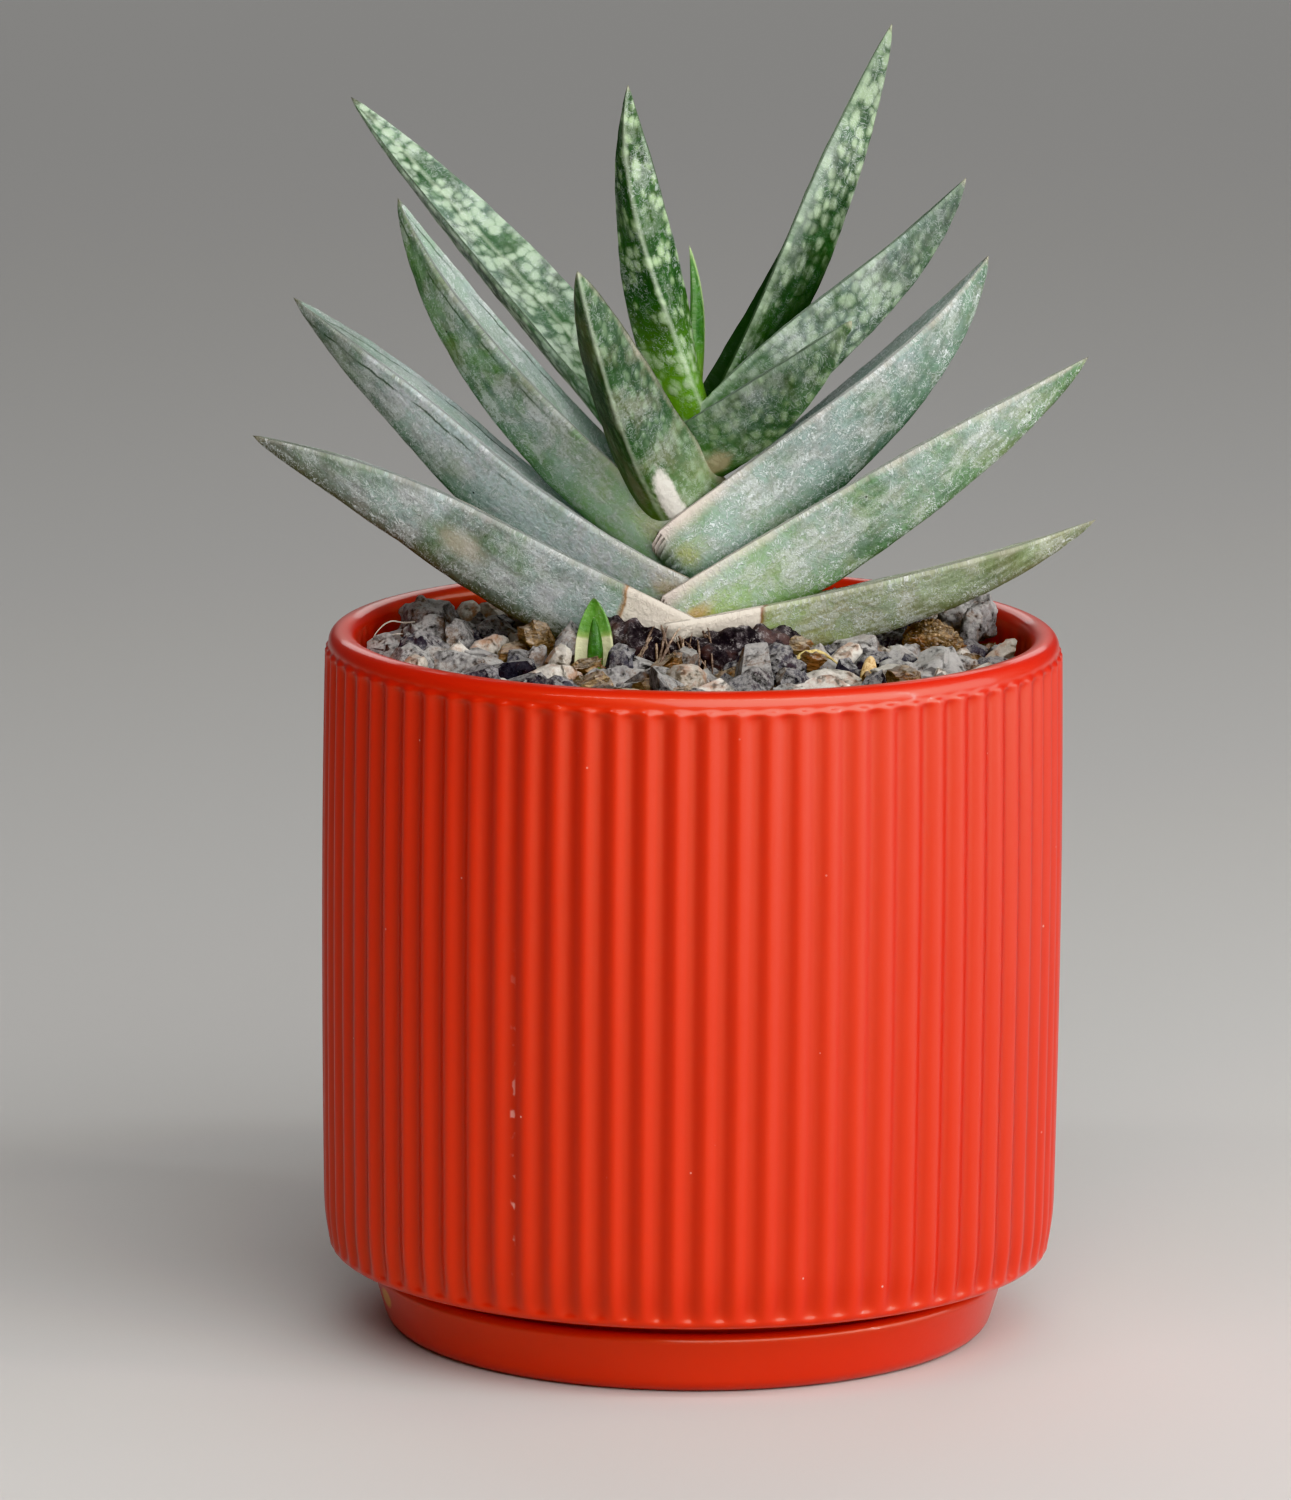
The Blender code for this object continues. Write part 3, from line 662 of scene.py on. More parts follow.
        # Scars and patches of painted shade, each with an irregular outline.
        for scar_or_shade in self.scars_and_painted_shade:
            far = paint.away(skin, (-scar_or_shade.across, -scar_or_shade.along, 0.0),
                             (1.0 / scar_or_shade.half_width, 1.0 / scar_or_shade.half_length, 0.0))
            edge = add("Math", [tissue, 0.5, far], operation="MULTIPLY_ADD")
            inside, outside = 1.25 - scar_or_shade.soft, 1.25 + scar_or_shade.soft * 0.4
            patch = add("MapRange", [edge, inside, outside, scar_or_shade.amount, 0.0], **SOFT)
            layers.append((patch, scar_or_shade.colour))

        # Small black pits, about one in five square centimetres.
        pits = add("TexVoronoi", {"Vector": skin, "Scale": 0.16}, feature="F1")
        layers.append((add("MapRange", [pits, 0.022, 0.04, 0.85, 0.0]), PIT_BLACK))

        # A dead sheath is blanched, ends in a thin rusty line and rots away from its margin down.
        if self.cream_end:
            edge = add("Math", [wide, -3.0, along], operation="MULTIPLY_ADD")
            edge = add("Math", [rim, 0.35, edge], operation="MULTIPLY_ADD")
            end = self.cream_end - 1.5
            rust = add("MapRange", [edge, end + 0.1, end + 1.1, 0.85, 0.0])
            inside = add("MapRange", [edge, end - 0.2, end + 0.2, 1.0, 0.0])
            rotten = add("Math", [crumbs, 2.5, rim], operation="MULTIPLY_ADD")
            sheath = self.cream
            for start, stop, shade in ((0.0, 1.4, ROT_RED), (1.0, 2.6, ROT_BLACK)):
                gone = add("MapRange", [rotten, self.rot + start, self.rot + stop, 0.0, 1.0])
                sheath = add("Mix", [gone, sheath, shade], data_type="RGBA")
            layers += [(rust, self.rust), (inside, sheath)]

        dry = add("MapRange", [share, 0.975, 0.995, 0.0, 0.7])
        layers.append((dry, self.tip))

        gloss = add("MapRange", [bloom, 0.0, 0.8, self.roughness, 0.78])
        relief = fine
        for field, height in ((bloom, 0.4), (marks, 0.5), (spots, 0.4)):
            if field is not None:
                relief = add("Math", [field, height, relief], operation="MULTIPLY_ADD")
        return paint.finish(self.deep, layers, gloss, relief, 0.00022)

    def spots(self, paint: Finish, skin: Feed, fine: Feed) -> bpy.types.NodeSocket:
        """Soft oval spots; in uneven cross bands about 6 mm apart they swell and run together.

        Args:
            paint: the material under construction.
            skin: the place on the leaf.
            fine: the field that roughens their outlines.
        Returns:
            How far a point is inside a spot.
        """
        add = paint.add
        cell = (1.0 / self.spot_size[0], 1.0 / self.spot_size[1], 1.0)
        warp = add("TexNoise", {"Vector": skin, "Scale": 0.35, "Detail": 3.0}, out="Color")
        bent = add("VectorMath", [skin, cell], operation="MULTIPLY")
        bent = add("VectorMath", [warp, (0.8, 0.8, 0.0), bent], operation="MULTIPLY_ADD")
        feeds = {"Vector": bent, "Scale": 1.0, "Randomness": 0.8}
        nearest = add("TexVoronoi", feeds, feature="F1")
        chance = add("TexVoronoi", feeds, feature="F1", out="Color")
        chance = add("SeparateXYZ", [chance], out="X")
        squash = add("VectorMath", [skin, (0.08, 0.16, 1.0)], operation="MULTIPLY")
        band = add("TexNoise", {"Vector": squash, "Scale": 1.0, "Detail": 3.0})
        small = 0.06 + 0.3 * self.spot_cover
        band = add("MapRange", [band, 0.38, 0.62, small, small + 0.24])
        size = add("Math", [chance, -0.18, band], operation="MULTIPLY_ADD")
        soft = add("Math", [fine, 0.35, nearest], operation="MULTIPLY_ADD")
        soft = add("Math", [soft, size], operation="SUBTRACT")
        return add("MapRange", [soft, -0.04, 0.44, 1.0, 0.0], **SOFT)


@dataclass(frozen=True)
class Mineral:
    """A broken grain of the mix: its own tone, mottling, dust on top, and pores or layers with painted shade
    in them.
    """

    name: str
    dark: str
    light: str
    stain: str
    dust: str = "c3bfba"
    dust_amount: float = 0.8
    pore_size: float = 0.8
    # How dark the pores are painted: painted shade in the cavities.
    pore_painted_shade: float = 0.6
    layered: bool = False
    roughness: float = 0.88

    def make(self) -> bpy.types.Material:
        """Make the mineral; it reads the attribute "tone" of each grain."""
        paint = Finish(self.name, self.roughness, Specular_IOR_Level=0.3)
        add = paint.add
        place = add("TexCoord", {}, out="Object")
        tone = add("Attribute", {}, out="Fac", attribute_name="tone")
        facing = add("NewGeometry", {}, out="Normal")
        facing = add("SeparateXYZ", [facing], out="Z")
        mottle = add("TexNoise", {"Vector": place, "Scale": 480.0, "Detail": 8.0, "Roughness": 0.78})
        mixed = add("Math", [mottle, 4.2, tone], operation="MULTIPLY_ADD")
        shade = add("MapRange", [mixed, 1.65, 3.05, 0.0, 1.0])
        patch = add("TexNoise", {"Vector": place, "Scale": 230.0, "Detail": 5.0, "Roughness": 0.7})
        patch = add("MapRange", [patch, 0.5, 0.62, 0.0, 0.85])
        # Broken bubbles of many sizes, or the thin sheets of bark.
        if self.layered:
            sheet = add("VectorMath", [place, (0.6, 0.6, 2.6)], operation="MULTIPLY")
            pores = add("TexNoise", {"Vector": sheet, "Scale": 700.0, "Detail": 4.0,
                                     "Distortion": 0.8})
            pit = add("MapRange", [pores, 0.36, 0.56, 0.0, 1.0])
        else:
            bent = add("TexNoise", {"Vector": place, "Scale": 900.0, "Detail": 2.0}, out="Color")
            bent = add("VectorMath", [bent, (0.0009, 0.0009, 0.0009), place],
                       operation="MULTIPLY_ADD")
            pores = add("TexVoronoi", {"Vector": bent, "Scale": 1000.0 / self.pore_size,
                                       "Detail": 1.5, "Roughness": 0.7}, feature="F1")
            pit = add("MapRange", [pores, 0.16, 0.5, 0.0, 1.0])
        # Painted shade: the pores and the cracks between mottles are darkened in colour, standing in for the
        # shade inside them.
        crack = add("MapRange", [mottle, 0.36, 0.44, 0.0, 1.0])
        pit = add("Math", [pit, crack], operation="MULTIPLY")
        depth = add("MapRange", [pit, 0.0, 1.0, 1.0 - self.pore_painted_shade, 1.0])
        # Pale dust lies on what faces up.
        powder = add("TexNoise", {"Vector": place, "Scale": 1100.0, "Detail": 5.0, "Roughness": 0.8})
        settled = add("Math", [facing, 0.22, powder], operation="MULTIPLY_ADD")
        settled = add("MapRange", [settled, 0.54, 0.72, 0.0, self.dust_amount])
        rough = add("Math", [mottle, 1.5, pit], operation="MULTIPLY_ADD")
        layers = [(shade, self.light), (patch, self.stain), (1.0, depth, "MULTIPLY"), (settled, self.dust)]
        return paint.finish(self.dark, layers, relief=rough, height=0.0007)


@dataclass(frozen=True)
class DeadTissue:
    """Dead leaf base: dark crumbling crust, purple-brown to black, with torn fibres."""

    name: str = "dead_leaf_tissue"
    dark: str = "1d191c"
    light: str = "6e6668"
    stain: str = "bdb6b4"
    rust: str = "5f453f"

    def make(self) -> bpy.types.Material:
        """Make the dead tissue."""
        paint = Finish(self.name, 0.85, Specular_IOR_Level=0.3)
        add = paint.add
        place = add("TexCoord", {}, out="Object")
        crumb = add("TexNoise", {"Vector": place, "Scale": 700.0, "Detail": 8.0, "Roughness": 0.8})
        lump = add("TexNoise", {"Vector": place, "Scale": 240.0, "Detail": 4.0})
        mixed = add("Math", [crumb, lump], operation="MULTIPLY")
        shade = add("MapRange", [mixed, 0.19, 0.36, 0.0, 1.0])
        reddish = add("MapRange", [lump, 0.54, 0.62, 0.0, 0.6])
        pale = add("MapRange", [crumb, 0.54, 0.66, 0.0, 0.85])
        layers = [(shade, self.light), (reddish, self.rust), (pale, self.stain)]
        return paint.finish(self.dark, layers, relief=crumb, height=0.0009)


@dataclass(frozen=True)
class DryFibre:
    """Dry straw, bark fibre or husk: streaked along its length."""

    name: str
    dark: str
    light: str

    def make(self) -> bpy.types.Material:
        """Make the fibre."""
        paint = Finish(self.name, 0.7)
        place = paint.add("TexCoord", {}, out="Object")
        grain = paint.add("TexNoise", {"Vector": place, "Scale": 1500.0, "Detail": 3.0, "Distortion": 1.0})
        shade = paint.add("MapRange", [grain, 0.35, 0.65, 0.0, 1.0])
        return paint.finish(self.dark, [(shade, self.light)], relief=grain, height=0.0002)


@dataclass(frozen=True)
class Grit:
    """The fine dark grit between the stones, in crumbs of about 1 mm."""

    name: str = "dark_grit"
    dark: str = "14100d"
    light: str = "5a4f45"

    def make(self) -> bpy.types.Material:
        """Make the grit."""
        paint = Finish(self.name, 0.95, Specular_IOR_Level=0.2)
        place = paint.add("TexCoord", {}, out="Object")
        crumb = paint.add("TexVoronoi", {"Vector": place, "Scale": 900.0}, out="Distance")
        tint = paint.add("TexNoise", {"Vector": place, "Scale": 700.0, "Detail": 5.0, "Roughness": 0.7})
        shade = paint.add("MapRange", [tint, 0.42, 0.68, 0.0, 1.0])
        return paint.finish(self.dark, [(shade, self.light)], relief=crumb, height=-0.0007)


# ---------------------------------------------------------------- pot and saucer


@dataclass
class Saucer:
    """The shallow red dish under the pot."""

    height: float = 10.2
    rim_radius: float = 51.8
    foot_radius: float = 50.0
    wall: float = 2.6
    floor: float = 3.0
    edge: float = 3.2
    foot_inset: float = 6.0
    corner: float = 1.6
    corner_inset: float = 3.4
    ring: float = 8.0
    flank: float = -14.0
    crest: float = 0.75
    columns: int = 160

    def profile(self) -> list[tuple[float, float]]:
        """Its section, from the middle of its underside round to the middle of its floor."""
        lip = (self.rim_radius - self.wall / 2, self.height - self.wall / 2)
        edge = (self.foot_radius - self.edge, self.edge)
        corner = (self.foot_radius - self.corner_inset, self.floor + self.corner)
        points = [(self.ring, 0.0), (self.foot_radius - self.foot_inset, 0.0)]
        points += arc(edge, self.edge, -90, self.flank, 6)
        points += arc(lip, self.wall / 2, self.flank, 170, 12)
        points += arc(corner, self.corner, -10, -90, 3)
        return points + [(self.ring, self.floor)]

    def build(self, glaze: bpy.types.Material) -> bpy.types.Object:
        """Model the saucer and hand it over."""
        piece = draw_out("saucer_dish", self.columns, self.profile())
        write_values(piece, "crest", [self.crest] * len(piece.data.vertices))
        return hand_over(piece, glaze, "red_glaze", ["saucer"], 50.0)


@dataclass
class Pot:
    """The fluted pot: a slightly barrelled wall with upright ribs and a plain lip."""

    radius: float = 60.4
    lip_radius: float = 59.9
    height: float = 115.4
    wall: float = 5.1
    lip_setback: float = 0.5
    belly: float = 72.0
    shoulder_radius: float = 1.8
    shoulder_top: float = 14.5
    tuck: float = 0.7
    tuck_height: float = 7.0
    foot_radius: float = 44.0
    foot_width: float = 6.0
    foot_bottom: float = 3.3
    foot_top: float = 10.6
    foot_chamfer: float = 0.6
    underside: tuple[tuple[float, float], ...] = ((1.0, 11.6), (6.0, 12.3))
    wall_steps: tuple[float, ...] = (16, 18, 20.5, 24, 34, 44, 54, 64, 74, 84, 94, 103, 108, 110.5,
                                     111.4, 112.1)
    neck: tuple[tuple[float, float], ...] = ((0.16, 112.5), (0.0, 112.8))
    inner_corner: float = 17.0
    inner_ring: float = 100.0
    floor_underside: float = 5.6
    floor_top: float = 10.0
    drain_radius: float = 6.0
    ribs: int = 76
    columns_per_rib: int = 6
    flute_depth: float = 0.95
    flute_top: float = 113.1
    flute_bottom: float = 13.0
    flute_ends: tuple[float, float] = (2.0, 2.4)
    outer_wall: float = 52.0

    def wall_radius(self, height: float) -> float:
        """Outer radius of the wall at a height."""
        if height > self.belly:
            away = (height - self.belly) / (self.height - self.belly)
        else:
            away = (self.belly - height) / (self.belly - self.shoulder_top)
        tucked = max(1.0 - (height - self.shoulder_top) / self.tuck_height, 0.0)
        return between(self.radius, self.lip_radius, away * away) - self.tuck * tucked * tucked

    def profile(self) -> list[tuple[float, float]]:
        """Its section, from the drain hole out under the foot, up the wall and in again."""
        inner = self.lip_radius - self.wall
        low, cut = self.shoulder_top, self.foot_chamfer
        shoulder = (self.wall_radius(low) - self.shoulder_radius, low)
        edge = self.foot_radius - self.foot_width
        points = [(self.drain_radius, self.floor_underside), (edge, self.floor_underside),
                  (edge + cut, self.foot_bottom), (self.foot_radius - cut, self.foot_bottom),
                  (self.foot_radius, self.foot_bottom + cut), (self.foot_radius, self.foot_top)]
        points += [(self.foot_radius + out, height) for out, height in self.underside]
        points += arc(shoulder, self.shoulder_radius, -86, 0, 7)
        points += [(self.wall_radius(height), height) for height in self.wall_steps]
        set_back = self.lip_radius - self.lip_setback
        points += [(set_back + out, height) for out, height in self.neck]
        half = (set_back - inner) / 2
        points += arc((inner + half, self.height - half), half, 0, 180, 12)
        points += [(inner, self.inner_ring), (inner, self.floor_top + self.inner_corner)]
        return points + [(inner - self.inner_corner, self.floor_top), (self.drain_radius, self.floor_top)]

    def flute(self, place: Vector) -> float:
        """How deep the flute is at a point of the outer wall, from 0 on a crest to 1."""
        radius = math.hypot(place.x, place.y)
        if radius < self.outer_wall or place.z > self.flute_top:
            return 0.0
        phase = math.atan2(place.y, place.x) * self.ribs / math.tau
        across = abs(phase - math.floor(phase) - 0.5) * 2.0
        valley = 0.5 - 0.5 * math.cos(math.pi * across)
        top, bottom = self.flute_ends
        ends = smooth_step((self.flute_top - place.z) / top)
        return valley * (ends * smooth_step((place.z - self.flute_bottom) / bottom))

    def at_drain(self, place: Vector) -> bool:
        """Whether a point is on the drain hole's rim."""
        return math.hypot(place.x, place.y) < self.drain_radius + 0.1

    def build(self, glaze: bpy.types.Material) -> bpy.types.Object:
        """Model the pot and hand it over."""
        piece = draw_out("fluted_pot", self.ribs * self.columns_per_rib, self.profile())
        take_up(piece)
        # The drain hole goes through the floor: the two flat caps give way to a short wall.
        bpy.ops.object.mode_set(mode="EDIT")
        pick(piece, self.at_drain)
        bpy.ops.mesh.select_mode(type="FACE")
        bpy.ops.mesh.delete(type="ONLY_FACE")
        pick(piece, self.at_drain, edges=True)
        bpy.ops.mesh.bridge_edge_loops()
        face_outwards()
        depths = [self.flute(vert.co) for vert in piece.data.vertices]
        flutes = piece.vertex_groups.new(name="flutes")
        for index, depth in enumerate(depths):
            flutes.add([index], depth, "REPLACE")
        write_values(piece, "crest", [1.0 - depth for depth in depths])
        finish_with(piece, "DISPLACE", direction="NORMAL", mid_level=0.0, strength=-self.flute_depth,
                    vertex_group="flutes")
        finish_with(piece, "SUBSURF", levels=1, use_limit_surface=False)
        return hand_over(piece, glaze, "red_glaze", ["pot"], 55.0)


# ---------------------------------------------------------------- plant


STEM_AXIS = (-2.0, 2.0)
PUP_ROOT = (-16.4, -12.5)

# How a leaf's section is made; lengths in millimetres, the rest shares.
TAPER_POWER = 0.85
BASE_WIDTH, BASE_LENGTH = 0.92, 0.3
SHEATH_DEPTH = 0.95
SHEATH_WALL = 2.0
THINNEST_SHEATH = 0.3
BLADE_HOLLOW = 0.16
HOLLOW_REACH = 1.3
EDGE_THICKNESS = 1.1
SHEATH_ROUND, BLADE_ROUND = 2.3, 1.35
UPPER_EDGE = 0.12
# Corners of the blank nearer its middle plane than this are the leaf's margins.
MARGIN_LIFT = 0.01
# How far apart the random fields of two leaves, and of a leaf's two faces, are taken.
LEAVES_APART, FACES_APART = 1.7, 50.0

FROSTED = LeafSkin()
SPOTTED = LeafSkin(
    deep="10290a", mid="2f5424", glow="5f9a22", glow_amount=0.5, stain_amount=0.1, spot_amount=0.8,
    frost_amount=0.16, hair_amount=0.35, flake_amount=0.25, keel_amount=0.0, margin="a9bda0",
    margin_width=0.7, blanch=1.0, upper_painted_light_amount=0.0, roughness=0.42,
)
FRESH = LeafSkin(
    deep="3c7a1d", mid="86b457", glow="b9d77a", glow_amount=0.8, stain_amount=0.0, frost_amount=0.08,
    hair_amount=0.1, flake_amount=0.0, keel_amount=0.0, margin="c2dba2", margin_amount=0.3,
    margin_width=0.4, blanch=0.6, upper_painted_light_amount=0.2, upper_painted_light="2f6d16", roughness=0.33,
)


@dataclass(frozen=True)
class Leaf:
    """One leaf, drawn out along its own spine; lengths in millimetres, angles in degrees."""

    name: str
    skin: LeafSkin
    azimuth: float
    height: float
    rise: tuple[float, float, float]
    length: float
    width: float
    depth: float
    clasp: float
    heel: float
    roll: tuple[float, float] = (0.0, 0.0)
    slot: str = "frosted_leaf"
    sheath: float = 24.0
    root: tuple[float, float] = STEM_AXIS
    rings: int = 44
    sides: int = 48
    fullness: float = 2.8
    blunt: float = 0.0
    swell: float = 0.45

    def axes(self, share: float) -> tuple[Vector, Vector, Vector]:
        """Unit vectors along the leaf, across it and out of its upper face."""
        base, middle, tip = self.rise
        share = max(share, 0.0)
        near = share < 0.5
        slope = between(base, middle, share * 2.0) if near else between(middle, tip, share * 2.0 - 1.0)
        slope, azimuth = math.radians(slope), math.radians(self.azimuth)
        level = math.cos(slope)
        along = Vector((level * math.cos(azimuth), level * math.sin(azimuth), math.sin(slope)))
        across = Vector((-math.sin(azimuth), math.cos(azimuth), 0.0))
        upper = along.cross(across)
        roll = math.radians(between(self.roll[0], self.roll[1], share))
        rolled = across * math.cos(roll) + upper * math.sin(roll)
        return along, rolled, upper * math.cos(roll) - across * math.sin(roll)

    def spine(self) -> list[tuple[float, Vector]]:
        """Distance from the stem's axis, and place, of each ring."""
        place = Vector((*self.root, self.height))
        step = self.length / self.rings
        points = []
        if self.heel:
            points.append((-self.heel, place - self.axes(0.0)[0] * self.heel))
        points.append((0.0, place.copy()))
        for index in range(self.rings):
            place = place + self.axes((index + 0.5) / self.rings)[0] * step
            points.append(((index + 1) * step, place.copy()))
        return points

    def section(self, distance: float) -> tuple[float, float, float, float, float]:
        """Half width, depth, hollow of the upper face, edge thickness and roundness."""
        share = max(distance, 0.0) / self.length
        taper = max(1.0 - share ** self.fullness, 0.0) ** TAPER_POWER
        taper = max(taper * between(BASE_WIDTH, 1.0, min(share / BASE_LENGTH, 1.0)), self.blunt)
        blade = smooth_step(distance / self.sheath)
        half = between(self.clasp, self.width / 2 * taper, blade)
        depth = between(self.depth * SHEATH_DEPTH, self.depth * taper, blade)
        sheath_hollow = max(depth - SHEATH_WALL, depth * THINNEST_SHEATH)
        opening = smooth_step(distance / (self.sheath * HOLLOW_REACH))
        hollow = between(sheath_hollow, depth * BLADE_HOLLOW, opening)
        edge = min(EDGE_THICKNESS * min(taper * 2.0, 1.0), depth * 0.5)
        return half, depth, hollow, edge, between(SHEATH_ROUND, BLADE_ROUND, blade)

    def build(self) -> bpy.types.Object:
        """Draw the leaf out, lay it along its spine, dress it and hand it over."""
        spine = self.spine()
        piece = draw_tube("blade_" + self.name, self.sides, len(spine) - 1, pointed=True)
        self.lay(piece, spine)
        finish_with(piece, "SUBSURF", levels=1, use_limit_surface=False)
        roughen(piece, Texture.GRAINS, (9.0, self.swell), (2.2, self.swell * 0.3))
        skin = self.skin.make("gasteria_skin_" + self.name)
        return hand_over(piece, skin, self.slot, [self.name], 60.0)

    def lay(self, piece: bpy.types.Object, spine: list[tuple[float, Vector]]) -> None:
        """Give every ring of the straight blank its own section and place on the spine.

        Args:
            piece: the blank, a tube of radius 1 with a ring at every whole height.
            spine: distance and place of each ring.
        """
        skins, reaches = [], []
        for vert in piece.data.vertices:
            ring = round(vert.co.z)
            distance, centre = spine[ring]
            side, lift = (vert.co.x, vert.co.y) if ring < len(spine) - 1 else (0.0, 0.0)
            share = max(distance, 0.0) / self.length
            half, depth, hollow, edge, power = self.section(distance)
            rest = abs(side) ** power
            face = Face.UPPER if lift > MARGIN_LIFT else Face.BACK
            if face is Face.UPPER:
                sunk = hollow * (1.0 - rest) + edge * UPPER_EDGE
                flank, reached = half, abs(side) * half
            elif lift < -MARGIN_LIFT:
                sunk = edge + (depth - edge) * (1.0 - rest)
                flank = math.hypot(half, depth - edge)
                reached = math.hypot(side * half, (depth - edge) * rest)
            else:
                sunk = edge * 0.5
                flank = reached = math.hypot(half, depth - edge)
            _, across, upper = self.axes(share)
            vert.co = centre + across * (half * side) - upper * sunk
            seed = self.azimuth * LEAVES_APART + self.height
            skins += [math.copysign(reached, side), distance, face.value * FACES_APART + seed]
            reaches += [share, flank - reached, face.value]
        for name, values in (("skin", skins), ("reach", reaches)):
            made = piece.data.attributes.new(name, "FLOAT_VECTOR", "POINT")
            made.data.foreach_set("vector", values)


